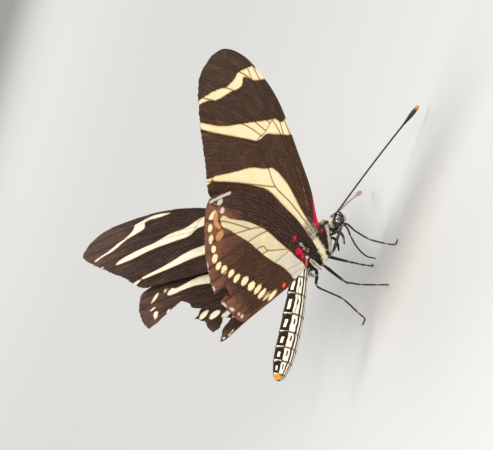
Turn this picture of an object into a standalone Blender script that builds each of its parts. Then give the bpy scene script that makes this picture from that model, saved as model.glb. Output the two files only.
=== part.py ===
"""Zebra longwing butterfly at life size, standing on four feet with half-raised wings.

Metres, +Z up, +X towards the head, +Y to the animal's left. The origin is on the floor, under the
middle of the whole model. Sizes below are in millimetres and are scaled by MM where they are used.
"""

import math

import bmesh
import bpy
from mathutils import Matrix, Vector
from mathutils.geometry import delaunay_2d_cdt

MM = 0.001
GAP = 0.3
SHARP_ANGLE = math.radians(50)
FLOOR_CUTTER = 80.0

# Where the middle of the thorax stands, and how far the body tips its head down.
BODY_AT = Vector((0.6, 0.0, 10.0))
BODY_PITCH = math.radians(22)

# Thorax, head and eyes, as half lengths (forward, sideways, up) about a middle in the body's frame.
THORAX_MIDDLE = Vector((-0.8, 0.0, -0.1))
THORAX_HALF = Vector((3.7, 2.2, 2.45))
COLLAR_REACH = 1.284
COLLAR_NARROWING = 0.35
COLLAR_FLATTENING = 0.5
COLLAR_POWER = 1.2
COLLAR_RISE = 0.37
COLLAR_RISE_START = 0.3
WAIST_NARROWING = 0.10
BACK_ARCH = 0.06
HEAD_MIDDLE = Vector((4.75, 0.0, -0.2))
HEAD_HALF = Vector((1.25, 1.15, 1.15))
EYE_MIDDLE = Vector((4.5, 1.12, -0.35))
EYE_HALF = Vector((1.2, 0.58, 0.9))
EYE_TILT = math.radians(32)
BODY_RINGS = (28, 16)
EYE_RINGS = (20, 12)

# Abdomen: a level, slightly sagging row of segments behind the thorax.
ABDOMEN_FRONT = Vector((-3.6, 0.0, 1.9))
ABDOMEN_RADIUS = 1.6
ABDOMEN_NARROWING = 0.84
ABDOMEN_SAG = 0.38
GROOVE_DEPTH = 0.14
SEGMENT_LENGTHS = [2.6, 2.7, 3.2, 2.8, 2.4, 2.1, 1.9, 0.7]
ABDOMEN_LENGTH = sum(SEGMENT_LENGTHS)
# Places within a segment, as a share of its length, with the share of the groove that is left there.
SEGMENT_PROFILE = [(0.0, 1.0), (0.15, 0.3), (0.55, 0.1), (0.95, -0.25)]
WAIST_SHARE = 0.75
WAIST_LENGTH_SHARE = 0.45
TIP_START_SHARE = 0.84
TIP_LENGTH_SHARE = 0.165
LEAST_TIP = 0.02

# Wings: one flat frame per side, hinged at the thorax, turned up, swept back and twisted.
WING_HINGE = Vector((0.0, 1.7, 0.8))
WING_RAISE = math.radians(39)
WING_SWEEP = math.radians(5.8)
WING_TWIST = math.radians(3.8)
WING_ARCH = 0.9
ARCH_PEAK = 18.0
MEMBRANE = 0.5
ROOT_EXTRA = 0.3
ROOT_LENGTH = 3.0
VEIN_RISE = 0.15
VEIN_HALF_WIDTH = 0.32
VEIN_STEP = 1.8
VEIN_MARGIN = 0.42
INNER_GRID = 2.6
GRID_CLEARANCE = 1.17
RIM_STEP = 1.5
NET_WELD = 0.02
HINDWING_BACK = 2.0
HINDWING_BELOW = 1.2

# Outlines and veins are (outwards, rearwards) from the wing's hinge, in the wing's own plane.
FOREWING_OUTLINE = [
    (-1.2, -0.8), (2.4, -1.8), (7.0, -3.5), (13.4, -4.8), (21.6, -6.1), (27.5, -6.2), (33.6, -5.3),
    (38.2, -3.9), (41.5, -2.0), (43.1, 0.5), (42.8, 3.1), (40.8, 4.8), (37.3, 6.3), (33.6, 7.7),
    (29.5, 9.1), (26.6, 10.4), (24.0, 11.2), (21.0, 10.2), (15.0, 7.6), (8.0, 4.8), (3.0, 2.5),
    (-1.2, 0.9),
]
FOREWING_VEINS = [
    [(0.6, -0.6), (8.0, -3.3), (16.0, -4.9), (25.5, -6.0)],
    [(0.6, -0.2), (8.0, -2.4), (16.0, -3.7), (22.5, -3.9), (30.6, -3.8), (34.8, -2.8), (42.6, 1.0)],
    [(16.0, -3.7), (22.0, -4.9), (29.0, -5.8)],
    [(22.5, -3.9), (29.0, -5.0), (33.5, -5.0)],
    [(30.6, -3.8), (36.0, -4.0), (40.0, -2.6)],
    [(0.6, 0.1), (8.2, 0.5), (13.4, 1.3), (17.4, 0.7), (22.5, 0.1), (22.3, -1.8), (22.5, -3.9)],
    [(22.4, -3.2), (31.0, -1.6), (42.0, 3.8)],
    [(22.3, -2.0), (31.0, 0.6), (39.8, 5.2)],
    [(22.4, -1.0), (28.0, 1.0), (37.3, 6.2)],
    [(22.5, 0.1), (28.1, 3.4), (34.6, 7.2)],
    [(13.4, 1.3), (19.5, 5.4), (26.4, 10.2)],
    [(0.6, 0.5), (8.0, 3.6), (16.0, 7.4), (22.8, 10.8)],
]
HINDWING_COSTA = [
    (-0.8, -0.3), (2.4, -0.4), (7.5, -0.2), (12.7, 1.1), (19.7, 4.4), (23.4, 7.2), (25.4, 10.0),
    (23.9, 12.3), (19.6, 15.0), (15.8, 16.5), (12.4, 17.5),
]
HINDWING_TORNUS = [
    (10.4, 17.3), (6.6, 17.0), (3.9, 16.2), (3.2, 14.4), (1.6, 10.7), (0.3, 7.4), (-0.1, 5.0),
    (-0.4, 3.0), (-0.8, 2.0),
]
RIGHT_SLIT = [(11.4, 15.1), (8.7, 15.4), (10.2, 15.9)]
LEFT_COSTA = [
    (-0.8, -0.3), (2.4, -0.4), (7.5, -0.2), (12.7, 1.0), (19.5, 3.6), (23.6, 6.2), (25.3, 9.0),
    (24.0, 11.9), (22.0, 14.2), (19.2, 16.2),
]
LEFT_TEAR = [
    (16.7, 10.2), (15.1, 10.5), (14.0, 11.4), (12.1, 11.4), (12.1, 13.6), (10.0, 13.8), (9.0, 14.8),
    (7.4, 15.7), (6.7, 14.8), (7.3, 12.6), (6.0, 12.6), (5.9, 15.4),
]
LEFT_ANAL = [(5.1, 17.4), (4.0, 15.8), (2.9, 12.4), (1.2, 8.6), (0.0, 5.2), (-0.4, 3.0), (-0.8, 2.0)]
HINDWING_VEINS = [
    [(0.6, 0.3), (8.0, 1.1), (16.0, 3.4), (23.2, 7.8)],
    [(0.6, 1.0), (8.0, 2.9), (12.2, 5.3), (16.0, 9.1), (19.4, 13.2)],
    [(8.0, 2.9), (15.0, 4.6), (24.4, 10.1)],
    [(14.0, 6.9), (19.0, 9.4), (23.2, 12.2)],
    [(10.2, 4.0), (12.8, 8.2), (16.4, 15.6)],
    [(0.4, 1.5), (4.6, 3.5), (8.1, 6.4), (10.2, 7.5), (14.2, 16.4)],
    [(8.1, 6.4), (10.6, 11.2), (12.2, 16.8)],
    [(4.6, 3.5), (5.6, 7.0), (7.4, 11.4), (9.6, 16.4)],
    [(0.6, 2.4), (3.4, 7.4), (6.2, 16.4)],
    [(0.0, 3.0), (2.0, 7.4), (4.6, 15.6)],
]

# Feelers, mouth parts and legs. Legs and the tongue are measured from the middle of the thorax in
# level directions (forward, left, up), the rest in the pitched frame of the body.
ANTENNA_FOOT = Vector((5.0, 0.38, 0.35))
ANTENNA_LENGTH = 18.6
ANTENNA_SHAFT = 0.25
ANTENNA_CLUB = 0.42
RIGHT_ANTENNA_WAY = Vector((0.860, -0.510, -0.020))
LEFT_ANTENNA_WAY = Vector((0.691, 0.718, -0.085))
ANTENNA_BOW = 0.15
ANTENNA_SUNK = 1.0
ANTENNA_STEPS = 12
CLUB_PLACE = 0.93
CLUB_SHARE = 0.09
PALP = [(4.9, 0.4, -0.8), (5.65, 0.45, -1.25), (6.15, 0.45, -0.9), (6.3, 0.42, -0.35)]
PALP_RADII = [0.3, 0.34, 0.3, 0.2]
TONGUE = [
    (4.1, 0.0, -2.6), (3.7, 0.0, -3.7), (2.5, 0.1, -4.6), (1.2, 0.3, -5.9), (0.5, 0.6, -7.4),
    (0.6, 0.8, -8.9),
]
TONGUE_RADII = [0.3, 0.3, 0.27, 0.26, 0.25, 0.25]
FORELEG = [(1.0, 1.0, -1.0), (2.0, 1.2, -2.15), (1.7, 1.35, -3.0), (0.5, 1.35, -3.5)]
FORELEG_RADII = [0.3, 0.32, 0.3, 0.25]
FOOT_DEPTH = 9.78
LEG_RADII = [0.36, 0.34, 0.27, 0.26, 0.26, 0.26, 0.26, 0.26]
RIGHT_MIDLEG = [
    (-1.6, -1.2, -1.1), (-1.5, -2.1, -1.9), (2.3, -3.6, -2.3), (1.5, -4.2, -4.2), (0.7, -4.7, -6.2),
    (0.6, -5.1, -8.6), (0.7, -5.5, -FOOT_DEPTH), (1.1, -6.4, -FOOT_DEPTH),
]
RIGHT_HINDLEG = [
    (-3.4, -1.0, -0.6), (-4.0, -1.9, -1.2), (-6.1, -3.5, -4.0), (-6.2, -3.8, -5.1), (-6.1, -4.0, -6.4),
    (-5.6, -4.3, -8.6), (-5.4, -4.8, -FOOT_DEPTH), (-5.8, -5.7, -FOOT_DEPTH),
]
LEFT_MIDLEG = [
    (-1.2, 1.2, -1.1), (-0.8, 1.7, -2.2), (-0.1, 2.9, -5.7), (0.3, 3.6, -6.7), (0.6, 4.2, -7.6),
    (1.0, 4.8, -8.7), (1.4, 5.3, -FOOT_DEPTH), (2.0, 6.1, -FOOT_DEPTH),
]
LEFT_HINDLEG = [
    (-3.4, 1.0, -0.6), (-4.0, 2.0, -1.2), (-5.1, 3.0, -1.7), (-5.4, 3.3, -3.6), (-5.7, 3.6, -6.0),
    (-6.9, 4.0, -8.6), (-7.4, 4.3, -FOOT_DEPTH), (-8.2, 4.9, -FOOT_DEPTH),
]

# Colours as red, green, blue, with the roughness of each finish.
DARK_SCALES = ((0.045, 0.030, 0.022), 0.75)
DARK_CUTICLE = ((0.020, 0.016, 0.014), 0.45)
EYE_BROWN = ((0.050, 0.035, 0.030), 0.25)
CREAM_HAIR = ((0.70, 0.62, 0.40), 0.85)


def clear_scene():
    """Remove every object of the open file."""
    for thing in list(bpy.data.objects):
        bpy.data.objects.remove(thing, do_unlink=True)


def finish_of(name, look):
    """A Principled material of one colour and roughness, made once."""
    colour, roughness = look
    material = bpy.data.materials.get(name)
    if material is None:
        material = bpy.data.materials.new(name)
        material.use_nodes = True
        shader = material.node_tree.nodes["Principled BSDF"]
        shader.inputs["Base Color"].default_value = (*colour, 1.0)
        shader.inputs["Roughness"].default_value = roughness
        shader.inputs["Metallic"].default_value = 0.0
    return material


def body_frame():
    """The pitched frame of the body, as a matrix from body millimetres to world millimetres."""
    return Matrix.Translation(BODY_AT) @ Matrix.Rotation(BODY_PITCH, 4, "Y")


def level_frame():
    """The level frame at the middle of the thorax, in millimetres."""
    return Matrix.Translation(BODY_AT)


def wing_frame(side, back=0.0, below=0.0):
    """The frame of a wing's plane: x outwards, y rearwards, z to the upper surface.

    side is 1 for the left wing and -1 for the right one; back and below move the hinge within it.
    """
    raised = Matrix.Rotation(WING_RAISE, 4, "X")
    swept = Matrix.Rotation(math.pi / 2 + WING_SWEEP, 4, "Z")
    twisted = Matrix.Rotation(WING_TWIST, 4, "X")
    shifted = Matrix.Translation((0.0, back, -below))
    left = Matrix.Translation(WING_HINGE) @ raised @ swept @ twisted @ shifted
    mirror = Matrix.Diagonal((1.0, side, 1.0, 1.0))
    return body_frame() @ mirror @ left


def smooth_line(points, per_span):
    """A Catmull-Rom curve through points of any size, with per_span steps between two of them."""
    knots = [Vector(point) for point in points]
    knots = [2 * knots[0] - knots[1], *knots, 2 * knots[-1] - knots[-2]]
    line = []
    for a, b, c, d in zip(knots, knots[1:], knots[2:], knots[3:]):
        for step in range(per_span):
            t = step / per_span
            square = 2 * a - 5 * b + 4 * c - d
            cube = 3 * b - a - 3 * c + d
            line.append(0.5 * (2 * b + (c - a) * t + square * t**2 + cube * t**3))
    line.append(knots[-2])
    return line


def link(name, mesh, look_name, look):
    """A new object of the mesh in the butterfly's collection, smooth shaded, with its material."""
    thing = bpy.data.objects.new(name, mesh)
    bpy.data.collections["zebra_longwing"].objects.link(thing)
    mesh.materials.clear()
    mesh.materials.append(finish_of(look_name, look))
    mesh.shade_smooth()
    mesh.set_sharp_from_angle(angle=SHARP_ANGLE)
    return thing


def mesh_from(builder, name, frame):
    """A mesh of the bmesh in metres, after the frame's millimetres are applied, facing outwards."""
    builder.transform(Matrix.Scale(MM, 4) @ frame)
    bmesh.ops.recalc_face_normals(builder, faces=builder.faces)
    mesh = bpy.data.meshes.new(name)
    builder.to_mesh(mesh)
    builder.free()
    return mesh


def ball(name, middle, half, frame, grown=0.0, shape=None, rings=BODY_RINGS, tilt=0.0):
    """An ellipsoid mesh with its poles fore and aft.

    grown is a margin added all round, shape a function that reshapes the unit ball, and tilt how
    far its front is raised.
    """
    builder = bmesh.new()
    bmesh.ops.create_uvsphere(builder, u_segments=rings[0], v_segments=rings[1], radius=1.0)
    bmesh.ops.rotate(builder, verts=builder.verts, matrix=Matrix.Rotation(math.pi / 2, 3, "Y"))
    if shape:
        for vert in builder.verts:
            vert.co = shape(vert.co)
    bmesh.ops.scale(builder, verts=builder.verts, vec=half)
    bmesh.ops.rotate(builder, verts=builder.verts, matrix=Matrix.Rotation(-tilt, 3, "Y"))
    bmesh.ops.translate(builder, verts=builder.verts, vec=middle)
    builder.normal_update()
    for vert in builder.verts:
        vert.co += vert.normal * grown
    return mesh_from(builder, name, frame)


def thorax_shape(unit):
    """Draws the front out into a raised collar, narrows the rear to a waist and arches the back."""
    front = max(unit.x, 0.0)
    collar = front**COLLAR_POWER
    waist = WAIST_NARROWING * max(-unit.x, 0.0) ** 2
    rise = COLLAR_RISE * front**2 / (COLLAR_RISE_START + (1.0 - COLLAR_RISE_START) * front)
    arched = 1.0 + (BACK_ARCH * (1.0 - unit.x**2) if unit.z > 0 else 0.0)
    wide = 1.0 - COLLAR_NARROWING * collar - waist
    high = 1.0 - COLLAR_FLATTENING * collar - waist
    along = unit.x * (COLLAR_REACH if unit.x > 0 else 1.0)
    return Vector((along, unit.y * wide, unit.z * high * arched + rise))


def tube(name, points, radii, frame, sides=8, per_span=3):
    """A tapering closed tube along a smooth line, as a mesh made from a bevelled curve."""
    line = smooth_line([(*point, radius) for point, radius in zip(points, radii)], per_span)
    curve = bpy.data.curves.new(name, "CURVE")
    curve.dimensions = "3D"
    curve.bevel_depth = 1.0
    curve.bevel_resolution = sides // 2 - 2
    curve.use_fill_caps = True
    spline = curve.splines.new("POLY")
    spline.points.add(len(line) - 1)
    for knot, place in zip(spline.points, line):
        knot.co = (place[0], place[1], place[2], 1.0)
        knot.radius = place[3]
    guide = bpy.data.objects.new(name + "_guide", curve)
    bpy.context.scene.collection.objects.link(guide)
    bpy.context.view_layer.update()
    graph = bpy.context.evaluated_depsgraph_get()
    rough = bpy.data.meshes.new_from_object(guide.evaluated_get(graph))
    bpy.data.objects.remove(guide, do_unlink=True)
    builder = bmesh.new()
    builder.from_mesh(rough)
    bpy.data.meshes.remove(rough)
    bmesh.ops.remove_doubles(builder, verts=builder.verts, dist=0.01)
    return mesh_from(builder, name, frame)


def keep_largest(mesh):
    """Leave only the closed surface with the most faces."""
    builder = bmesh.new()
    builder.from_mesh(mesh)
    unseen = set(builder.faces)
    groups = []
    while unseen:
        front = [unseen.pop()]
        group = set(front)
        while front:
            for edge in front.pop().edges:
                for face in edge.link_faces:
                    if face in unseen:
                        unseen.remove(face)
                        group.add(face)
                        front.append(face)
        groups.append(group)
    largest = max(groups, key=len)
    scraps = [face for face in builder.faces if face not in largest]
    bmesh.ops.delete(builder, geom=scraps, context="FACES")
    builder.to_mesh(mesh)
    builder.free()


def cut(thing, cutter_mesh):
    """Take the closed cutter mesh out of the object for good, and keep the largest piece."""
    cutter = bpy.data.objects.new(thing.name + "_cutter", cutter_mesh)
    bpy.data.collections["cutters"].objects.link(cutter)
    cutter.hide_render = True
    cutter.display_type = "WIRE"
    knife = thing.modifiers.new("cut", "BOOLEAN")
    knife.operation = "DIFFERENCE"
    knife.solver = "EXACT"
    knife.object = cutter
    bpy.context.view_layer.update()
    graph = bpy.context.evaluated_depsgraph_get()
    result = bpy.data.meshes.new_from_object(thing.evaluated_get(graph))
    thing.modifiers.clear()
    thing.data = result
    keep_largest(result)
    result.shade_smooth()
    result.set_sharp_from_angle(angle=SHARP_ANGLE)
    bpy.data.objects.remove(cutter, do_unlink=True)


def cut_floor(thing):
    """Give the object flat soles at floor level."""
    builder = bmesh.new()
    bmesh.ops.create_cube(builder, size=FLOOR_CUTTER)
    below = Matrix.Translation((0.0, 0.0, -FLOOR_CUTTER / 2))
    cut(thing, mesh_from(builder, "under_floor", below))


def distance_to(point, line):
    """How far a flat point is from a broken line."""
    nearest = 1e9
    for a, b in zip(line, line[1:]):
        span = b - a
        t = max(0.0, min(1.0, (point - a).dot(span) / span.length_squared))
        nearest = min(nearest, (point - a - span * t).length)
    return nearest


def inside(point, outline):
    """Whether a flat point lies within a closed outline."""
    odd = False
    for a, b in zip(outline, outline[1:] + outline[:1]):
        if (a.y > point.y) != (b.y > point.y):
            if point.x < a.x + (point.y - a.y) * (b.x - a.x) / (b.y - a.y):
                odd = not odd
    return odd


def spaced(line, step):
    """Points along a broken line about a step apart, with both ends kept."""
    kept = [line[0]]
    for point in line[1:-1]:
        if (point - kept[-1]).length >= step:
            kept.append(point)
    if (line[-1] - kept[-1]).length < step / 2 and len(kept) > 1:
        kept.pop()
    kept.append(line[-1])
    return kept


def vein_lines(veins, outline):
    """The middle lines of the veins as smooth runs that stay a little inside the outline."""
    rim = outline + outline[:1]
    runs = []
    for vein in veins:
        run = []
        for point in spaced(smooth_line(vein, 8), VEIN_STEP):
            if inside(point, outline) and distance_to(point, rim) > VEIN_MARGIN:
                run.append(point)
                continue
            if len(run) > 2:
                runs.append(run)
            run = []
        if len(run) > 2:
            runs.append(run)
    return runs


def sides_of(run, width):
    """The two lines beside a vein's middle line, each a width away."""
    both = ([], [])
    for index, point in enumerate(run):
        ahead = run[min(index + 1, len(run) - 1)] - run[max(index - 1, 0)]
        across = Vector((-ahead.y, ahead.x)).normalized() * width
        both[0].append(point + across)
        both[1].append(point - across)
    return both


def wing_net(outline, runs):
    """A flat triangle net of the outline whose edges follow the veins."""
    rim = outline + outline[:1]
    points = list(outline)
    edges = [(index, (index + 1) % len(outline)) for index in range(len(outline))]
    lines = list(runs)
    for run in runs:
        for side in sides_of(run, VEIN_HALF_WIDTH):
            lines.append([point for point in side if inside(point, outline)])
    for line in lines:
        first = len(points)
        points.extend(line)
        edges.extend((index, index + 1) for index in range(first, len(points) - 1))
    low = Vector((min(p.x for p in outline), min(p.y for p in outline)))
    high = Vector((max(p.x for p in outline), max(p.y for p in outline)))
    for row in range(int((high.y - low.y) / INNER_GRID) + 1):
        for column in range(int((high.x - low.x) / INNER_GRID) + 1):
            place = low + Vector((column + 0.5 * (row % 2), row)) * INNER_GRID
            clear_of = min(distance_to(place, line) for line in [rim, *runs])
            if inside(place, outline) and clear_of > GRID_CLEARANCE:
                points.append(place)
    net = delaunay_2d_cdt(points, edges, [], 1, NET_WELD)
    return net[0], net[2]


def arch(outwards):
    """How far the wing's middle surface bows up at a distance from the hinge."""
    return WING_ARCH * (1.0 - ((outwards - ARCH_PEAK) / ARCH_PEAK) ** 2)


def half_thickness(point, runs):
    """Half the wing's thickness: the membrane, a stouter root, and a ridge on each vein."""
    root = max(0.0, 1.0 - max(point.x, 0.0) / ROOT_LENGTH)
    near = min(distance_to(point, run) for run in runs)
    ridge = max(0.0, 1.0 - near / VEIN_HALF_WIDTH)
    return MEMBRANE / 2 + ROOT_EXTRA / 2 * root + VEIN_RISE * ridge * (1.0 - root)


def wing_mesh(name, outline, veins, frame):
    """A closed bowed sheet with both faces split into the same triangles."""
    runs = vein_lines(veins, outline)
    flat, faces = wing_net(outline, runs)
    builder = bmesh.new()
    upper = []
    lower = []
    for point in flat:
        middle = arch(point.x)
        half = half_thickness(point, runs)
        upper.append(builder.verts.new((point.x, point.y, middle + half)))
        lower.append(builder.verts.new((point.x, point.y, middle - half)))
    sides_used = {}
    for face in faces:
        builder.faces.new([upper[index] for index in face])
        builder.faces.new([lower[index] for index in reversed(face)])
        for a, b in zip(face, face[1:] + face[:1]):
            sides_used[(a, b)] = (b, a) in sides_used
            if (b, a) in sides_used:
                sides_used[(b, a)] = True
    for (a, b), shared in sides_used.items():
        if not shared:
            builder.faces.new([upper[b], upper[a], lower[a], lower[b]])
    loose = [vert for vert in builder.verts if not vert.link_faces]
    bmesh.ops.delete(builder, geom=loose, context="VERTS")
    return mesh_from(builder, name, frame)


def rounded(points):
    """A smooth stretch of outline through the points, thinned to even steps."""
    return spaced(smooth_line(points, 4), RIM_STEP)


def make_wings(side, word):
    """The forewing and the hindwing of one side, with their roots cut clear of the thorax."""
    outline = rounded(FOREWING_OUTLINE)
    mesh = wing_mesh("forewing_" + word, outline, FOREWING_VEINS, wing_frame(side))
    cut(link("forewing_" + word, mesh, "wing_scales", DARK_SCALES), grown_thorax())
    if side > 0:
        outline = rounded(LEFT_COSTA) + [Vector(p) for p in LEFT_TEAR] + rounded(LEFT_ANAL)
    else:
        outline = rounded(HINDWING_COSTA) + [Vector(p) for p in RIGHT_SLIT] + rounded(HINDWING_TORNUS)
    frame = wing_frame(side, HINDWING_BACK, HINDWING_BELOW)
    mesh = wing_mesh("hindwing_" + word, outline, HINDWING_VEINS, frame)
    cut(link("hindwing_" + word, mesh, "wing_scales", DARK_SCALES), grown_thorax())


def grown_thorax():
    """The thorax with the clearance that its neighbours keep."""
    return ball("thorax_clearance", THORAX_MIDDLE, THORAX_HALF, body_frame(), GAP, thorax_shape)


def grown_head():
    """The head with the clearance that its neighbours keep."""
    return ball("head_clearance", HEAD_MIDDLE, HEAD_HALF, body_frame(), GAP)


def mirrored(points, side):
    """Points given for the left side, on the wanted side."""
    return [(point[0], point[1] * side, point[2]) for point in points]


def make_thorax():
    """The thorax."""
    mesh = ball("thorax", THORAX_MIDDLE, THORAX_HALF, body_frame(), 0.0, thorax_shape)
    link("thorax", mesh, "body_hair", DARK_SCALES)


def make_head():
    """The head, with hollows that the eyes sit in."""
    mesh = ball("head", HEAD_MIDDLE, HEAD_HALF, body_frame())
    head = link("head", mesh, "body_hair", DARK_SCALES)
    cut(head, grown_thorax())
    for side, word in ((1, "left"), (-1, "right")):
        middle = Vector((EYE_MIDDLE.x, EYE_MIDDLE.y * side, EYE_MIDDLE.z))
        eye = ball("eye_" + word, middle, EYE_HALF, body_frame(), rings=EYE_RINGS, tilt=EYE_TILT)
        link("eye_" + word, eye, "eye", EYE_BROWN)
        clearance = ball("eye_clearance", middle, EYE_HALF, body_frame(), GAP, None, EYE_RINGS, EYE_TILT)
        cut(head, clearance)


def make_abdomen():
    """The abdomen: a tapering tube with a groove after each segment, its front cut to the thorax."""
    places = []
    done = 0.0
    for length in SEGMENT_LENGTHS:
        places += [(done + length * share, groove) for share, groove in SEGMENT_PROFILE]
        done += length
    places.append((done, 1.0))
    points = []
    radii = []
    for place, groove in places:
        along = place / ABDOMEN_LENGTH
        towards_tip = max(0.0, (along - TIP_START_SHARE) / TIP_LENGTH_SHARE)
        tip = math.sqrt(max(LEAST_TIP, 1.0 - towards_tip**2))
        waist = WAIST_SHARE + (1.0 - WAIST_SHARE) * min(1.0, along / WAIST_LENGTH_SHARE)
        sag = ABDOMEN_SAG * math.sin(math.pi * along)
        points.append(ABDOMEN_FRONT + Vector((-place, 0.0, -sag)))
        radii.append((ABDOMEN_RADIUS * waist - GROOVE_DEPTH * groove) * tip)
    flattened = level_frame() @ Matrix.Diagonal((1.0, ABDOMEN_NARROWING, 1.0, 1.0))
    mesh = tube("abdomen", points, radii, flattened, 16, 1)
    cut(link("abdomen", mesh, "body_hair", DARK_SCALES), grown_thorax())


def make_antenna(word, side, way):
    """One antenna: a fine, slightly bowed shaft that swells into a club."""
    foot = Vector((ANTENNA_FOOT.x, ANTENNA_FOOT.y * side, ANTENNA_FOOT.z))
    points = []
    radii = []
    for step in range(ANTENNA_STEPS + 1):
        along = step / ANTENNA_STEPS
        bow = Vector((0.0, 0.0, ANTENNA_BOW * math.sin(math.pi * along)))
        points.append(foot + way.normalized() * (ANTENNA_LENGTH + ANTENNA_SUNK) * along + bow)
        club = math.exp(-(((along - CLUB_PLACE) / CLUB_SHARE) ** 2))
        radii.append(ANTENNA_SHAFT + (ANTENNA_CLUB - ANTENNA_SHAFT) * club)
    mesh = tube("antenna_" + word, points, radii, body_frame(), 8, 1)
    cut(link("antenna_" + word, mesh, "cuticle", DARK_CUTICLE), grown_head())


def make_mouth():
    """The two palps and the tongue under the head."""
    for side, word in ((1, "left"), (-1, "right")):
        mesh = tube("palp_" + word, mirrored(PALP, side), PALP_RADII, body_frame())
        cut(link("palp_" + word, mesh, "pale_hair", CREAM_HAIR), grown_head())
    mesh = tube("proboscis", TONGUE, TONGUE_RADII, level_frame())
    cut(link("proboscis", mesh, "cuticle", DARK_CUTICLE), grown_head())


def make_legs():
    """The folded forelegs, and the four legs that it stands on."""
    for side, word in ((1, "left"), (-1, "right")):
        mesh = tube("foreleg_" + word, mirrored(FORELEG, side), FORELEG_RADII, level_frame())
        cut(link("foreleg_" + word, mesh, "pale_hair", CREAM_HAIR), grown_thorax())
    standing = {
        "midleg_right": RIGHT_MIDLEG,
        "hindleg_right": RIGHT_HINDLEG,
        "midleg_left": LEFT_MIDLEG,
        "hindleg_left": LEFT_HINDLEG,
    }
    for name, points in standing.items():
        leg = link(name, tube(name, points, LEG_RADII, level_frame()), "cuticle", DARK_CUTICLE)
        cut(leg, grown_thorax())
        cut_floor(leg)


def main():
    """Build the butterfly from the thorax outwards."""
    clear_scene()
    for name in ("zebra_longwing", "cutters"):
        bpy.context.scene.collection.children.link(bpy.data.collections.new(name))
    make_thorax()
    make_head()
    make_abdomen()
    for side, word in ((1, "left"), (-1, "right")):
        make_wings(side, word)
    make_antenna("left", 1, LEFT_ANTENNA_WAY)
    make_antenna("right", -1, RIGHT_ANTENNA_WAY)
    make_mouth()
    make_legs()


main()
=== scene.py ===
"""The looks of a zebra longwing butterfly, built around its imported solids.

Everything is worked out in millimetres from the middle of the thorax or from a wing's hinge, with
the same sizes as the solids have, and is scaled to metres as each piece is finished.
"""

from __future__ import annotations

import logging
import math
from dataclasses import dataclass
from enum import Enum
from typing import Callable, Sequence

import bmesh
import bpy
import numpy as np
from mathutils import Matrix, Vector

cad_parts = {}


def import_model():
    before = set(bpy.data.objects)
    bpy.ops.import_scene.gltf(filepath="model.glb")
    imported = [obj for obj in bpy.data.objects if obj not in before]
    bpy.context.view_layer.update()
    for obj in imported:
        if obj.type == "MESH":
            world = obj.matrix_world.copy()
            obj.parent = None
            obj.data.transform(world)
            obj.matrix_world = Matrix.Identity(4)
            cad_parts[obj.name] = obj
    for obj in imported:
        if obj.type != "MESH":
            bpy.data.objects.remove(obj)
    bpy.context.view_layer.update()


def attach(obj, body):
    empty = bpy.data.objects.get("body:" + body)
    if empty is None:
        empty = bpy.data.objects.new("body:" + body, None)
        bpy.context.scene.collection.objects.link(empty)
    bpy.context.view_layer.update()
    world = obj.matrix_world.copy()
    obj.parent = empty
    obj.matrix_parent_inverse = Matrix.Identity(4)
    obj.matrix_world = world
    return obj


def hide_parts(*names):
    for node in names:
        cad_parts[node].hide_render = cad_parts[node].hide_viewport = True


LOG = logging.getLogger("longwing")
MM = 0.001
Pair = tuple[float, float]
Triple = tuple[float, float, float]
Points = Sequence[tuple[float, ...]]
Rows = np.ndarray
Material = bpy.types.Material
Mesh = bpy.types.Mesh
Socket = bpy.types.NodeSocket
NO_LENGTH = 1e-12
NEVER = -5.0
ALWAYS = 1.0
BLUNT_TIP = 0.002
BAKE_MAP = "OFBake"
NEARLY_UPRIGHT = 0.9
CAP_TURNS = (90.0, 60.0, 30.0)
LEAST_CAP = 1e-6
SAME_PLACE = 1e-4
LEAST_WIDTH = 0.02
RANDOM = np.random.default_rng(41)


class Side(Enum):
    """The two sides of the animal, with the sign of their sideways direction."""

    LEFT = 1
    RIGHT = -1

    @property
    def word(self) -> str:
        """The side's word in the names of pieces and nodes."""
        return self.name.lower()


class Tint(Enum):
    """Colours of the real surfaces, and of painted shade and painted highlights, as red, green and blue from
    0 to 255.
    """

    UNDER_BROWN = (52, 33, 20)
    UNDER_PALE_BROWN = (58, 40, 30)
    HIND_BROWN = (54, 30, 16)
    # Painted shade, laid over the front part of the hindwing's underside.
    HIND_DUSK = (24, 13, 8)
    HIND_MARGIN_BROWN = (134, 86, 64)
    UPPER_BLACK = (32, 19, 15)
    UPPER_GREY = (88, 64, 55)
    STREAK_BROWN = (118, 86, 66)
    WARM_BROWN = (92, 56, 32)
    UNDER_CREAM = (230, 216, 176)
    UPPER_CREAM = (252, 245, 220)
    BAND_CREAM = (203, 191, 158)
    VEIL_WHITE = (212, 198, 192)
    BAND_GREY = (196, 189, 178)
    PEACH = (238, 206, 150)
    GOLD = (206, 158, 84)
    VEIN_BROWN = (130, 88, 34)
    VEIN_DARK = (34, 22, 15)
    CRIMSON = (196, 14, 62)
    PINK_RED = (224, 24, 78)
    # The hindwing's rust-brown patches, and a painted highlight along the forewing's costal vein.
    CORAL = (226, 78, 66)
    RUST = (190, 132, 84)
    HAIR_BROWN = (24, 14, 8)
    HAIR_GREY = (84, 66, 54)
    HAIR_TAN = (168, 148, 132)
    HAIR_CREAM = (255, 242, 206)
    HAIR_WHITE = (220, 209, 190)
    TIP_ORANGE = (226, 148, 26)
    CUTICLE = (20, 13, 12)
    CUTICLE_BROWN = (60, 42, 34)
    CLUB_ORANGE = (190, 110, 40)
    STUB_PINK = (188, 156, 154)
    EYE_BROWN = (18, 12, 12)
    EYE_GREY = (36, 29, 30)
    # Painted highlights: pale glints of light on the eye's facets.
    EYE_DOT = (196, 190, 196)
    FLOOR = (226, 225, 221)

    @property
    def linear(self) -> tuple[float, float, float, float]:
        """The colour as a shader takes it."""
        channels = [(value / 255.0) for value in self.value]
        red, green, blue = [c / 12.92 if c < 0.04045 else ((c + 0.055) / 1.055) ** 2.4 for c in channels]
        return (red, green, blue, 1.0)


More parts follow.
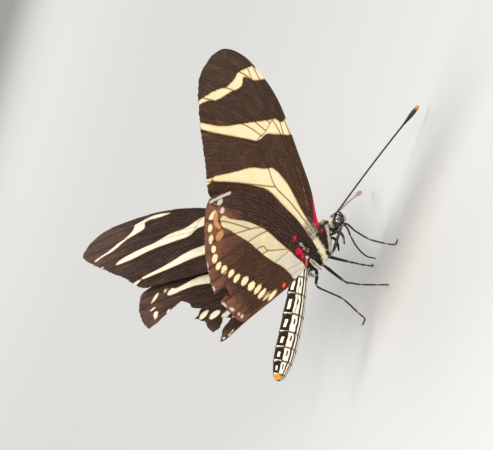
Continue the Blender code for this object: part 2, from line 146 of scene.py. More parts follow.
@dataclass(frozen=True)
class Stance:
    """Where the body and its wings stand, in millimetres, as in the solids."""

    body_at: Triple = (0.6, 0.0, 10.0)
    pitch: float = math.radians(22)
    hinge: Triple = (0.0, 1.7, 0.8)
    wing_raise: float = math.radians(39)
    wing_sweep: float = math.radians(5.8)
    wing_twist: float = math.radians(3.8)

    def level(self) -> Matrix:
        """The level frame at the middle of the thorax."""
        return Matrix.Translation(self.body_at)

    def pitched(self) -> Matrix:
        """The frame of the body, with its head tipped down."""
        return self.level() @ Matrix.Rotation(self.pitch, 4, "Y")

    def wing(self, side: Side, back: float, below: float) -> Matrix:
        """The frame of a wing's plane: x outwards, y rearwards, z to the upper surface.

        Args:
            side: Which wing.
            back: How far the hinge is moved rearwards in the wing's plane.
            below: How far it is moved under the plane.

        Returns:
            A matrix from the wing's millimetres to the model's.
        """
        raised = Matrix.Rotation(self.wing_raise, 4, "X")
        swept = Matrix.Rotation(math.pi / 2 + self.wing_sweep, 4, "Z")
        twisted = Matrix.Rotation(self.wing_twist, 4, "X")
        shifted = Matrix.Translation((0.0, back, -below))
        left = Matrix.Translation(self.hinge) @ raised @ swept @ twisted @ shifted
        return self.pitched() @ Matrix.Diagonal((1.0, side.value, 1.0, 1.0)) @ left


def smooth(points: Points, per_span: int = 8, closed: bool = False) -> Rows:
    """A Catmull-Rom curve through points of any size.

    Args:
        points: The points that the curve passes.
        per_span: Steps between two of them.
        closed: Whether the curve returns to its start.

    Returns:
        The curve's points, one row each.
    """
    knots = np.asarray(points, float)
    if closed:
        knots = np.concatenate([knots[-1:], knots, knots[:2]])
    else:
        knots = np.concatenate([2 * knots[:1] - knots[1:2], knots, 2 * knots[-1:] - knots[-2:-1]])
    a, b, c, d = knots[:-3], knots[1:-2], knots[2:-1], knots[3:]
    rows = []
    for step in range(per_span):
        t = step / per_span
        square = 2 * a - 5 * b + 4 * c - d
        cube = 3 * b - a - 3 * c + d
        rows.append(0.5 * (2 * b + (c - a) * t + square * t**2 + cube * t**3))
    line = np.stack(rows, 1).reshape(-1, knots.shape[1])
    return line if closed else np.concatenate([line, knots[-2:-1]])


def gap_to(points: Rows, line: Rows) -> Rows:
    """How far flat points are from a broken line.

    Args:
        points: The points.
        line: The line's points, one row each.

    Returns:
        Each point's distance to the nearest place of the line.
    """
    nearest = np.full(len(points), np.inf)
    for a, b in zip(line[:-1], line[1:]):
        span = b - a
        square = float(span @ span)
        if square < NO_LENGTH:
            continue
        t = np.clip(((points - a) @ span) / square, 0.0, 1.0)
        nearest = np.minimum(nearest, np.linalg.norm(points - a - t[:, None] * span, axis=1))
    return nearest


def within(points: Rows, outline: Rows) -> Rows:
    """Which flat points lie inside a closed outline.

    Args:
        points: The points.
        outline: The outline's points, its first one not repeated at its end.

    Returns:
        True for each point inside.
    """
    odd = np.zeros(len(points), bool)
    for a, b in zip(outline, np.roll(outline, -1, axis=0)):
        crosses = (a[1] > points[:, 1]) != (b[1] > points[:, 1])
        slope = (b[0] - a[0]) / (b[1] - a[1]) if b[1] != a[1] else 0.0
        odd ^= crosses & (points[:, 0] < a[0] + (points[:, 1] - a[1]) * slope)
    return odd


@dataclass(frozen=True)
class Patch:
    """A marking with an outline of its own."""

    outline: Points

    def depth(self, points: Rows) -> Rows:
        """How deep points lie in the marking.

        Args:
            points: The flat points.

        Returns:
            How many millimetres each lies inside, negative outside.
        """
        line = smooth(self.outline, per_span=5, closed=True)
        gap = gap_to(points, np.concatenate([line, line[:1]]))
        return np.where(within(points, line), gap, -gap)


@dataclass(frozen=True)
class Stroke:
    """A marking along a line, of one half width."""

    line: Points
    half: float

    def depth(self, points: Rows) -> Rows:
        """How many millimetres each point lies inside, negative outside."""
        return self.half - gap_to(points, smooth(self.line, per_span=6))


@dataclass(frozen=True)
class Spot:
    """An oval marking, with its half sizes and a turn in degrees."""

    middle: Pair
    half: Pair
    turn: float = 0.0

    def depth(self, points: Rows) -> Rows:
        """How deep points lie in the marking.

        Args:
            points: The flat points.

        Returns:
            How many millimetres each lies inside, negative outside.
        """
        angle = math.radians(self.turn)
        away = points - np.array(self.middle)
        along = away[:, 0] * math.cos(angle) + away[:, 1] * math.sin(angle)
        across = away[:, 1] * math.cos(angle) - away[:, 0] * math.sin(angle)
        reach = np.hypot(along / self.half[0], across / self.half[1])
        return (1.0 - reach) * min(self.half)


Mark = Patch | Stroke | Spot


def spots(*rows: tuple[float, ...]) -> tuple[Spot, ...]:
    """Spots from rows of middle, half sizes and turn."""
    return tuple(Spot((u, v), (along, across), turn) for u, v, along, across, turn in rows)


def deepest(marks: Sequence[Mark], points: Rows) -> Rows:
    """How deep points lie in the marking that holds them best.

    Args:
        marks: The markings.
        points: The flat points.

    Returns:
        Each point's greatest depth in millimetres.
    """
    found = np.full(len(points), NEVER)
    for mark in marks:
        found = np.maximum(found, mark.depth(points))
    return found


def eased(values: Rows, low: float, high: float) -> Rows:
    """A smooth step from 0 at low to 1 at high."""
    t = np.clip((values - low) / (high - low), 0.0, 1.0)
    return t * t * (3.0 - 2.0 * t)


def marked(count: int, unmarked: Sequence[str], **shown: Rows) -> dict[str, Rows]:
    """The marks of pieces whose places are wholly in a marking or wholly out of it.

    Args:
        count: How many places.
        unmarked: The markings that none of them has.
        **shown: For each other marking, which places it holds.

    Returns:
        Depths by the marking's name.
    """
    found = {name: np.full(count, NEVER) for name in unmarked}
    found.update({name: np.where(held, ALWAYS, NEVER) for name, held in shown.items()})
    return found


@dataclass(frozen=True)
class Rise:
    """A smooth step: the values that it climbs between, and what it gives below and above them."""

    low: float
    high: float
    start: float = 0.0
    end: float = 1.0


@dataclass(frozen=True)
class Grain:
    """Cloudy noise: how often it changes in a unit of its place, and how many finer layers it has."""

    scale: float
    detail: float


class Shade:
    """One material, with short calls to add and join its nodes."""

    def __init__(self, name: str, roughness: float = 0.6, **fixed: float) -> None:
        """Start a Principled material.

        Args:
            name: The material's name.
            roughness: The shader's own roughness.
            **fixed: Other constants for the shader's sockets, with underscores for spaces.
        """
        self.material = bpy.data.materials.new(name)
        self.material.use_nodes = True
        self.tree = self.material.node_tree
        self.shader = self.tree.nodes["Principled BSDF"]
        self.shader.inputs["Roughness"].default_value = roughness
        for socket, value in fixed.items():
            self.shader.inputs[socket.replace("_", " ").title().replace("Ior", "IOR")].default_value = value

    def join(self, value: object, socket: Socket) -> None:
        """Link a socket to another, or set a constant on it.

        Args:
            value: Another node's socket, a tint or a number, or None to leave the socket alone.
            socket: The socket that takes it.
        """
        if isinstance(value, Socket):
            self.tree.links.new(value, socket)
        elif isinstance(value, Tint):
            socket.default_value = value.linear
        elif value is not None:
            socket.default_value = value

    def node(self, kind: str, **inputs: object) -> bpy.types.Node:
        """Add a node.

        Args:
            kind: Its kind, without the word that all kinds start with.
            **inputs: What its inputs are joined to or set to, by their names.

        Returns:
            The node.
        """
        node = self.tree.nodes.new("ShaderNode" + kind)
        for name, value in inputs.items():
            self.join(value, node.inputs[name])
        return node

    def kept(self, name: str) -> bpy.types.Node:
        """The node that reads what is kept on the mesh.

        Args:
            name: The name that it is kept under.

        Returns:
            The node, with a number and a place as outputs.
        """
        node = self.node("Attribute")
        node.attribute_name = name
        return node

    def read(self, name: str) -> Socket:
        """A number kept on the mesh."""
        return self.kept(name).outputs["Fac"]

    def kept_place(self, name: str) -> Socket:
        """A place kept on the mesh."""
        return self.kept(name).outputs["Vector"]

    def place(self) -> Socket:
        """The Object coordinates in millimetres."""
        return self.stretch(self.node("TexCoord").outputs["Object"], (1 / MM, 1 / MM, 1 / MM))

    def stretch(self, vector: Socket, scale: tuple[float, ...]) -> Socket:
        """The place scaled along its axes."""
        return self.node("Mapping", Vector=vector, Scale=scale).outputs["Vector"]

    def maths(self, operation: str, a: object, b: object) -> Socket:
        """A Math node's result.

        Args:
            operation: The node's operation.
            a: Its first socket or number.
            b: Its second one.

        Returns:
            The result's socket.
        """
        node = self.node("Math")
        node.operation = operation
        self.join(a, node.inputs[0])
        self.join(b, node.inputs[1])
        return node.outputs[0]

    def times(self, a: object, b: object) -> Socket:
        """One number times another."""
        return self.maths("MULTIPLY", a, b)

    def plus(self, a: object, b: object) -> Socket:
        """One number and another together."""
        return self.maths("ADD", a, b)

    def less(self, a: object, b: object) -> Socket:
        """One number less another."""
        return self.maths("SUBTRACT", a, b)

    def step(self, value: object, rise: Rise) -> Socket:
        """A smooth step of a value.

        Args:
            value: The value.
            rise: Where the step climbs and what it gives.

        Returns:
            The step's socket.
        """
        node = self.node("MapRange")
        node.interpolation_type = "SMOOTHSTEP"
        for socket, number in zip(node.inputs, (value, rise.low, rise.high, rise.start, rise.end)):
            self.join(number, socket)
        return node.outputs["Result"]

    def noise(self, vector: Socket, grain: Grain) -> Socket:
        """Cloudy noise from 0 to 1."""
        return self.node("TexNoise", Vector=vector, Scale=grain.scale, Detail=grain.detail).outputs["Fac"]

    def cells(self, vector: Socket, scale: float, scatter: float = 1.0) -> Socket:
        """The distance to the nearest of scattered points, which stand in rows where scatter is 0."""
        return self.node("TexVoronoi", Vector=vector, Scale=scale, Randomness=scatter).outputs["Distance"]

    def mix(self, share: object, a: object, b: object) -> Socket:
        """Two colours mixed.

        Args:
            share: The share of the second colour, from 0 to 1.
            a: The first colour.
            b: The second one.

        Returns:
            The mixed colour's socket.
        """
        node = self.node("Mix")
        node.data_type = "RGBA"
        colours = [socket for socket in node.inputs if socket.type == "RGBA"]
        self.join(share, node.inputs[0])
        self.join(a, colours[0])
        self.join(b, colours[1])
        return [socket for socket in node.outputs if socket.type == "RGBA"][0]

    def relief(self, height: Socket, depth: float, strength: float) -> None:
        """Set bump on the shader from a height."""
        node = self.node("Bump", Distance=depth * MM, Strength=strength, Height=height)
        self.join(node.outputs["Normal"], self.shader.inputs["Normal"])

    def colour(self, socket: object) -> Material:
        """Set the shader's colour, and hand back the material."""
        self.join(socket, self.shader.inputs["Base Color"])
        return self.material


@dataclass(frozen=True)
class WingFinish:
    """Scales of the wings: dark ground, pale stripes with gold rims, veins, red spots, painted shade and
    highlights.
    """

    name: str
    ground: Tint
    ground_rim: Tint
    rim_width: float = 0.30
    vein_half: float = 0.11
    roughness: float = 0.58
    streak_stretch: Triple = (0.30, 5.5, 1.0)
    streak_grain: Grain = Grain(1.0, 5.0)
    cloud_grain: Grain = Grain(0.45, 4.0)
    grit_stretch: Triple = (1.15, 0.5, 1.0)
    grit_grain: Grain = Grain(6.5, 3.0)
    scale_stretch: Triple = (9.0, 6.0, 1.0)
    rim_cloud: Rise = Rise(0.25, 0.75, 0.45, 1.0)
    # How much painted shade darkens the front part of the hindwing's underside.
    painted_shade_share: float = 0.8
    warm_cloud: Rise = Rise(0.50, 0.72, 0.0, 0.35)
    pale_streak: Rise = Rise(0.50, 0.72)
    pale_streak_share: Pair = (0.35, 0.30)
    dark_streak: Rise = Rise(0.30, 0.46, 0.55, 0.0)
    pale_grit: Rise = Rise(0.50, 0.72, 0.0, 0.62)
    beside_vein: Rise = Rise(0.10, 0.40, 0.70, 0.0)
    # A painted highlight: the veins' crests are lightened.
    vein_crest_highlight: Rise = Rise(0.02, 0.11, 0.26, 0.0)
    peach_cloud: Rise = Rise(0.42, 0.75, 0.0, 0.55)
    gold_grit: Rise = Rise(0.55, 0.80, 0.0, 0.35)
    gilt_share: float = 0.6
    vein_share: float = 0.85
    upper_vein_loss: float = 0.5
    grey_vein_loss: float = 0.55
    ragged_grit: float = 0.26
    ragged_streak: float = 0.30
    stripe_edge: Rise = Rise(-0.08, 0.06)
    spot_edge: Rise = Rise(-0.09, 0.09)
    veil_edge: Rise = Rise(-0.09, 0.09, 0.0, 0.82)
    relief_scales: float = 0.45
    relief_streaks: float = 0.55
    relief_depth: float = 0.07
    relief_strength: float = 0.8

    def streaks(self, shade: Shade) -> Socket:
        """Fine streaks that run outwards between the veins.

        Args:
            shade: The material that is made.

        Returns:
            The streaks' height from 0 to 1, which follows the fan of veins in the wing's outer part.
        """
        inner, outer = (
            shade.noise(shade.stretch(shade.kept_place(name), self.streak_stretch), self.streak_grain)
            for name in ("inner_place", "outer_place")
        )
        turn = shade.read("outer")
        return shade.plus(shade.times(inner, shade.less(1.0, turn)), shade.times(outer, turn))

    def ground_colour(self, shade: Shade, fine: Socket, cloud: Socket, grit: Socket) -> Socket:
        """The dark scales, streaked, with paler margins, veins with painted highlights on their crests, and
        painted shade.

        Args:
            shade: The material that is made.
            fine: The fine streaks.
            cloud: The slow cloud.
            grit: The scales' unevenness.

        Returns:
            The colour's socket.
        """
        upper = shade.read("upper")
        rim = shade.times(shade.read("rim"), shade.step(cloud, self.rim_cloud))
        under = shade.mix(rim, self.ground, self.ground_rim)
        over = shade.mix(rim, Tint.UPPER_BLACK, Tint.UPPER_GREY)
        least, more = self.pale_streak_share
        bright = shade.plus(least, shade.times(upper, more))
        vein = shade.read("vein")
        dark = shade.mix(upper, under, over)
        for share, tint in (
            # Painted shade over the front part of the hindwing's underside.
            (shade.times(shade.read("dusk"), self.painted_shade_share), Tint.HIND_DUSK),
            (shade.step(cloud, self.warm_cloud), Tint.WARM_BROWN),
            (shade.times(shade.step(fine, self.pale_streak), bright), Tint.STREAK_BROWN),
            (shade.step(fine, self.dark_streak), Tint.VEIN_DARK),
            (shade.step(grit, self.pale_grit), Tint.STREAK_BROWN),
            (shade.step(vein, self.beside_vein), Tint.VEIN_DARK),
            # Painted highlight on the veins' crests.
            (shade.step(vein, self.vein_crest_highlight), Tint.STREAK_BROWN),
        ):
            dark = shade.mix(share, dark, tint)
        return dark

    def stripe_colour(self, shade: Shade, depth: Socket, cloud: Socket, grit: Socket) -> Socket:
        """The pale scales, with gold along their rims and brown veins across them.

        Args:
            shade: The material that is made.
            depth: How deep a place lies in a stripe.
            cloud: The slow cloud.
            grit: The scales' unevenness.

        Returns:
            The colour's socket.
        """
        upper, grey = shade.read("upper"), shade.read("grey")
        line = shade.step(shade.read("vein"), Rise(0.5 * self.vein_half, 1.5 * self.vein_half, 1.0, 0.0))
        bold = shade.less(self.vein_share, shade.times(upper, self.upper_vein_loss))
        bold = shade.less(bold, shade.times(grey, self.grey_vein_loss))
        cream = shade.mix(shade.read("dull"), Tint.UNDER_CREAM, Tint.BAND_CREAM)
        for share, tint in (
            (grey, Tint.BAND_GREY),
            (upper, Tint.UPPER_CREAM),
            (shade.step(cloud, self.peach_cloud), Tint.PEACH),
            (shade.step(grit, self.gold_grit), Tint.GOLD),
            (shade.step(depth, Rise(0.0, self.rim_width, self.gilt_share, 0.0)), Tint.GOLD),
            (shade.times(line, bold), Tint.VEIN_BROWN),
        ):
            cream = shade.mix(share, cream, tint)
        return cream

    def material(self) -> Material:
        """Make the finish, which reads the numbers kept on each wing's mesh.

        Returns:
            The material.
        """
        shade = Shade(self.name, self.roughness, specular_ior_level=0.15)
        place = shade.kept_place("inner_place")
        fine = self.streaks(shade)
        cloud = shade.noise(place, self.cloud_grain)
        grit = shade.noise(shade.stretch(place, self.grit_stretch), self.grit_grain)
        ragged = shade.plus(
            shade.times(shade.less(grit, 0.5), self.ragged_grit),
            shade.times(shade.less(fine, 0.5), self.ragged_streak),
        )
        depth = shade.plus(shade.read("stripe"), ragged)
        dark = self.ground_colour(shade, fine, cloud, grit)
        cream = self.stripe_colour(shade, depth, cloud, grit)
        body = shade.mix(shade.step(depth, self.stripe_edge), dark, cream)
        for name, tint, edge in (
            # Rust-brown patches, and a painted highlight along the forewing's costal vein.
            ("rust", Tint.RUST, self.spot_edge),
            ("white", Tint.VEIL_WHITE, self.veil_edge),
            ("coral", Tint.CORAL, self.spot_edge),
            ("red", Tint.CRIMSON, self.spot_edge),
        ):
            body = shade.mix(shade.step(shade.plus(shade.read(name), ragged), edge), body, tint)
        scales = shade.cells(shade.stretch(place, self.scale_stretch), 1.0)
        height = shade.plus(shade.times(scales, self.relief_scales), shade.times(fine, self.relief_streaks))
        shade.relief(height, self.relief_depth, self.relief_strength)
        return shade.colour(body)


@dataclass(frozen=True)
class HairFinish:
    """Hair and scales of the body: dark ground with cream, white, red and orange marks."""

    name: str
    ground: Tint = Tint.HAIR_BROWN
    sheen: float = 0.06
    sheen_roughness: float = 0.4
    specular: float = 0.15
    roughness: float = 0.6
    cloud_grain: Grain = Grain(1.3, 3.0)
    pale_strand: Rise = Rise(0.3, 0.7, 0.25, 0.75)
    mark_edge: Rise = Rise(-0.05, 0.05)
    dark_strand_from: float = 0.6
    dark_strand_share: float = 0.35
    bump_grain: Grain = Grain(9.0, 3.0)
    bump_depth: float = 0.06
    bump_strength: float = 0.6

    def material(self) -> Material:
        """Make the finish, the same for the skin and for the coat on it.

        Returns:
            The material.
        """
        sheen = {"sheen_weight": self.sheen, "sheen_roughness": self.sheen_roughness}
        shade = Shade(self.name, self.roughness, specular_ior_level=self.specular, **sheen)
        place = shade.place()
        strand = shade.read("strand")
        pale = shade.times(strand, shade.step(shade.noise(place, self.cloud_grain), self.pale_strand))
        body = shade.mix(pale, self.ground, Tint.HAIR_GREY)
        for name, tint in (
            ("cream", Tint.HAIR_CREAM),
            ("white", Tint.HAIR_WHITE),
            ("dark", Tint.HAIR_BROWN),
            ("red", Tint.PINK_RED),
            ("orange", Tint.TIP_ORANGE),
        ):
            body = shade.mix(shade.step(shade.read(name), self.mark_edge), body, tint)
        dark = shade.times(shade.less(strand, self.dark_strand_from), self.dark_strand_share)
        body = shade.mix(shade.maths("MAXIMUM", dark, 0.0), body, Tint.HAIR_BROWN)
        shade.relief(shade.noise(place, self.bump_grain), self.bump_depth, self.bump_strength)
        return shade.colour(body)


@dataclass(frozen=True)
class CuticleFinish:
    """Bare, slightly glossy cuticle with a paler tip or joints."""

    name: str
    joint: Tint
    roughness: float = 0.38
    mottle_grain: Grain = Grain(2.2, 3.0)
    mottle: Rise = Rise(0.4, 0.8, 0.0, 0.4)
    bump_grain: Grain = Grain(14.0, 2.0)
    bump_depth: float = 0.02
    bump_strength: float = 0.5

    def material(self) -> Material:
        """Make the finish, which reads where the piece is pale.

        Returns:
            The material.
        """
        shade = Shade(self.name, self.roughness, specular_ior_level=0.3, coat_weight=0.05)
        place = shade.place()
        mottle = shade.step(shade.noise(place, self.mottle_grain), self.mottle)
        body = shade.mix(mottle, Tint.CUTICLE, Tint.CUTICLE_BROWN)
        body = shade.mix(shade.read("pale"), body, self.joint)
        shade.relief(shade.noise(place, self.bump_grain), self.bump_depth, self.bump_strength)
        return shade.colour(body)


@dataclass(frozen=True)
class EyeFinish:
    """Dark facetted eyes with rows of pale dots over their upper part, painted as glints of light on the
    facets.
    """

    name: str = "facetted_eye"
    roughness: float = 0.32
    cloud_grain: Grain = Grain(1.1, 2.0)
    cloud: Rise = Rise(0.35, 0.70)
    glint_scale: float = 2.3
    glint_scatter: float = 0.5
    dot: Rise = Rise(0.24, 0.38, 0.9, 0.0)
    facet_scale: float = 16.0
    facet_depth: float = 0.012
    facet_strength: float = 0.6

    def material(self) -> Material:
        """Make the finish, which reads where the eye has its painted glints.

        Returns:
            The material.
        """
        coat = {"coat_weight": 0.08, "coat_roughness": 0.15}
        shade = Shade(self.name, self.roughness, specular_ior_level=0.25, **coat)
        place = shade.place()
        cloud = shade.step(shade.noise(place, self.cloud_grain), self.cloud)
        body = shade.mix(cloud, Tint.EYE_BROWN, Tint.EYE_GREY)
        # Pale dots painted as highlights, glints of light over the eye's upper part.
        dots = shade.step(shade.cells(place, self.glint_scale, self.glint_scatter), self.dot)
        body = shade.mix(shade.times(dots, shade.read("painted_glints")), body, Tint.EYE_DOT)
        shade.relief(shade.cells(place, self.facet_scale), self.facet_depth, self.facet_strength)
        return shade.colour(body)


@dataclass(frozen=True)
class FloorFinish:
    """A plain pale floor of one tone."""

    name: str = "pale_floor"
    roughness: float = 0.8

    def material(self) -> Material:
        """Make the finish."""
        return Shade(self.name, self.roughness, specular_ior_level=0.2).colour(Tint.FLOOR)


def points_of(mesh: Mesh) -> Rows:
    """The places of a mesh's vertices.

    Args:
        mesh: The mesh.

    Returns:
        One row for each vertex.
    """
    flat = np.empty(len(mesh.vertices) * 3)
    mesh.vertices.foreach_get("co", flat)
    return flat.reshape(-1, 3)


def put_points(mesh: Mesh, points: Rows) -> None:
    """Move a mesh's vertices to places of one row each."""
    mesh.vertices.foreach_set("co", points.astype(np.float32).ravel())
    mesh.update()


def shares_along(mesh: Mesh) -> Rows:
    """The share of its tube's length that is kept at each vertex.

    Args:
        mesh: A tube's mesh.

    Returns:
        Shares from 0 to 1.
    """
    along = np.empty(len(mesh.vertices))
    mesh.attributes["along"].data.foreach_get("value", along)
    return along


def moved(points: Rows, matrix: Matrix) -> Rows:
    """The points after a matrix."""
    table = np.array(matrix)
    return points @ table[:3, :3].T + table[:3, 3]


def unit_rows(rows: Rows) -> Rows:
    """The rows, each made 1 long."""
    return rows / np.linalg.norm(rows, axis=1)[:, None]


def keep_numbers(mesh: Mesh, numbers: dict[str, Rows]) -> None:
    """Keep numbers, or places of three numbers, on a mesh's vertices.

    Args:
        mesh: The mesh.
        numbers: What is kept, by name.
    """
    for name, values in numbers.items():
        flat = np.asarray(values, np.float32)
        kind, field = ("FLOAT_VECTOR", "vector") if flat.ndim == 2 else ("FLOAT", "value")
        mesh.attributes.new(name, kind, "POINT").data.foreach_set(field, flat.ravel())


def mesh_of(builder: bmesh.types.BMesh, name: str, outwards: bool = True) -> Mesh:
    """A mesh of the bmesh, which is then freed.

    Args:
        builder: The bmesh.
        name: The mesh's name.
        outwards: Whether its faces are turned outwards first.

    Returns:
        The mesh.
    """
    if outwards:
        bmesh.ops.recalc_face_normals(builder, faces=builder.faces)
    mesh = bpy.data.meshes.new(name)
    builder.to_mesh(mesh)
    builder.free()
    return mesh


def finish_piece(
    name: str, mesh: Mesh, frame: Matrix, material: Material, nodes: Sequence[str] = ()
) -> None:
    """Make a piece of a mesh in millimetres: at the origin, unturned and riding on the body.

    Args:
        name: The piece's name.
        mesh: Its mesh, in the millimetres of the frame.
        frame: From those millimetres to the model's.
        material: Its finish.
        nodes: The solids that it stands for.
    """
    put_points(mesh, moved(points_of(mesh), frame) * MM)
    if frame.determinant() < 0:
        mesh.flip_normals()
    mesh.materials.clear()
    mesh.materials.append(material)
    mesh.shade_smooth()
    thing = bpy.data.objects.new(name, mesh)
    bpy.context.scene.collection.objects.link(thing)
    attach(thing, "root")
    if nodes:
        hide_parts(*nodes)
    LOG.info("%s: %d faces", name, len(mesh.polygons))


def sheet_grid(rows: int, columns: int) -> tuple[bmesh.types.BMesh, Rows]:
    """A grid to be bent into a shape.

    Args:
        rows: Cells along.
        columns: Cells across.

    Returns:
        The bmesh, and each vertex's place along and across from 0 to 1.
    """
    builder = bmesh.new()
    bmesh.ops.create_grid(builder, x_segments=rows, y_segments=columns, size=0.5)
    return builder, np.array([vert.co[:2] for vert in builder.verts]) + 0.5


def bend_to(builder: bmesh.types.BMesh, places: Rows) -> None:
    """Move each vertex to its place."""
    for vert, place in zip(builder.verts, places):
        vert.co = place


def thicken(builder: bmesh.types.BMesh, faces: Sequence[bmesh.types.BMFace], height: float) -> None:
    """Make a closed block of flat faces.

    Args:
        builder: The bmesh.
        faces: The faces, which stay as the block's floor.
        height: How far its top is above them.
    """
    grown = bmesh.ops.extrude_face_region(builder, geom=faces, use_keep_orig=True)
    raised = [part for part in grown["geom"] if isinstance(part, bmesh.types.BMVert)]
    bmesh.ops.translate(builder, verts=raised, vec=(0.0, 0.0, height))


def map_onto(builder: bmesh.types.BMesh, shares: Rows) -> None:
    """Give the grid a UV map of its own two directions.

    Args:
        builder: The grid.
        shares: Each vertex's place on the map.
    """
    builder.verts.index_update()
    layer = builder.loops.layers.uv.new(BAKE_MAP)
    for face in builder.faces:
        for loop in face.loops:
            loop[layer].uv = shares[loop.vert.index]


def along_path(path: Rows) -> Rows:
    """How far along a path each of its points is.

    Args:
        path: The path's points.

    Returns:
        Shares of its length, from 0 to 1.
    """
    steps = np.linalg.norm(np.diff(path, axis=0), axis=1)
    run = np.concatenate([[0.0], np.cumsum(steps)])
    return run / run[-1]


def read_table(at: Rows, rows: Rows, table: Rows) -> Rows:
    """A table's columns, read between its rows."""
    return np.stack([np.interp(at, rows, column) for column in table.T], 1)


def carried_frames(path: Rows) -> tuple[Rows, Rows]:
    """Directions across a path, carried along it without twisting.

    Args:
        path: The path's points.

    Returns:
        Two directions at each point, square to the path and to each other.
    """
    ways = unit_rows(np.gradient(path, axis=0))
    upright = abs(ways[0][2]) >= NEARLY_UPRIGHT
    first = np.cross(ways[0], (1.0, 0.0, 0.0) if upright else (0.0, 0.0, 1.0))
    sides = [first / np.linalg.norm(first)]
    for way in ways[1:]:
        side = sides[-1] - way * (sides[-1] @ way)
        sides.append(side / np.linalg.norm(side))
    across = np.array(sides)
    return across, np.cross(ways, across)


def tube_mesh(name: str, path: Rows, radii: Rows, sides: int) -> Mesh:
    """A closed tube with rounded ends along a path.

    Args:
        name: The mesh's name.
        path: Its middle line.
        radii: Its radius at each point.
        sides: How many sides it has.

    Returns:
        The mesh, with the share of the length kept on it as along.
    """
    turns = np.radians(CAP_TURNS)
    out = np.sin(turns)[:, None]
    narrow = np.maximum(np.cos(turns), LEAST_CAP)
    first, last = unit_rows(path[[1, -1]] - path[[0, -2]])
    line = np.concatenate([path[0] - first * radii[0] * out, path, (path[-1] + last * radii[-1] * out)[::-1]])
    sizes = np.concatenate([radii[0] * narrow, radii, (radii[-1] * narrow)[::-1]])[:, None]
    across, upward = carried_frames(line)
    builder, shares = sheet_grid(len(line) - 1, sides)
    rows = np.rint(shares[:, 0] * (len(line) - 1)).astype(int)
    angles = 2 * math.pi * shares[:, 1]
    wide = np.cos(angles)[:, None] * sizes[rows] * across[rows]
    high = np.sin(angles)[:, None] * sizes[rows] * upward[rows]
    bend_to(builder, line[rows] + wide + high)
    layer = builder.verts.layers.float.new("along")
    run = along_path(line)
    for vert, row in zip(builder.verts, rows):
        vert[layer] = run[row]
    bmesh.ops.remove_doubles(builder, verts=builder.verts, dist=SAME_PLACE)
    return mesh_of(builder, name)


def joined(name: str, meshes: Sequence[Mesh]) -> Mesh:
    """One mesh of several, which are then removed.

    Args:
        name: The mesh's name.
        meshes: The meshes.

    Returns:
        The joined mesh.
    """
    builder = bmesh.new()
    for mesh in meshes:
        builder.from_mesh(mesh)
        bpy.data.meshes.remove(mesh)
    return mesh_of(builder, name, outwards=False)


@dataclass
class Tufts:
    """Many small tapered tufts of scales or hair, rooted in a surface.

    Each list has one row for each tuft: its root, the surface's normal there, the way it lies, its
    length and width, its place on the unwrapped surface, and the marks that it carries.
    """

    roots: Rows
    normals: Rows
    ways: Rows
    lengths: Rows
    widths: Rows
    spread: Rows
    marks: dict[str, Rows]
    lift: float
    flat: float = 0.35
    tip: float = 0.06
    swell: float = 0.6
    droop: float = 0.45
    patch: float = 0.003

    def blade(self) -> Mesh:
        """Make one tuft.

        Returns:
            A mesh of length 1 along y and width 1 along x, thickest near its root.
        """
        builder = bmesh.new()
        bmesh.ops.create_cone(builder, segments=3, radius1=0.5, radius2=self.tip, depth=1.0, cap_ends=True)
        turned = Matrix.Rotation(-math.pi / 2, 3, "X")
        bmesh.ops.rotate(builder, verts=builder.verts, matrix=turned)
        bmesh.ops.translate(builder, verts=builder.verts, vec=(0.0, 0.5, 0.0))
        long_edges = [e for e in builder.edges if abs(e.verts[0].co.y - e.verts[1].co.y) > 0.5]
        bmesh.ops.subdivide_edges(builder, edges=long_edges, cuts=1)
        bmesh.ops.triangulate(builder, faces=builder.faces)
        return mesh_of(builder, "blade")

    def places(self, shape: Rows) -> Rows:
        """Where the vertices of every tuft lie.

        Args:
            shape: One tuft's vertices.

        Returns:
            For each tuft, one row for each vertex.
        """
        ways = unit_rows(self.ways - self.normals * (self.ways * self.normals).sum(1)[:, None])
        across = np.cross(ways, self.normals)
        x, y, z = shape.T
        long, wide = self.lengths[:, None], self.widths[:, None]
        aside = x * (1.0 + self.swell * y * (1.0 - y)) * wide
        rise = self.lift * (y - self.droop * y**2) * long + z * wide * self.flat
        flat = aside[..., None] * across[:, None] + (y * long)[..., None] * ways[:, None]
        return self.roots[:, None] + flat + rise[..., None] * self.normals[:, None]

    def mesh(self, name: str) -> Mesh:
        """Make all tufts, with their marks and their UV map.

        Args:
            name: The mesh's name.

        Returns:
            One mesh.
        """
        blade = self.blade()
        shape = points_of(blade)
        faces = np.array([tuple(face.vertices) for face in blade.polygons])
        bpy.data.meshes.remove(blade)
        count, size = len(self.roots), len(shape)
        every = (faces[None] + size * np.arange(count)[:, None, None]).reshape(-1, 3)
        mesh = bpy.data.meshes.new(name)
        mesh.from_pydata(self.places(shape).reshape(-1, 3).tolist(), [], every.tolist())
        kept = {mark: np.repeat(values, size, axis=0) for mark, values in self.marks.items()}
        kept["strand"] = np.repeat(RANDOM.random(count), size)
        keep_numbers(mesh, kept)
        corner = self.spread[:, None] + self.patch * (shape[:, :2] - (0.0, 0.5))[None]
        loops = np.empty(len(mesh.loops), np.int32)
        mesh.loops.foreach_get("vertex_index", loops)
        layer = mesh.uv_layers.new(name=BAKE_MAP)
        layer.uv.foreach_set("vector", corner.reshape(-1, 2)[loops].astype(np.float32).ravel())
        return mesh


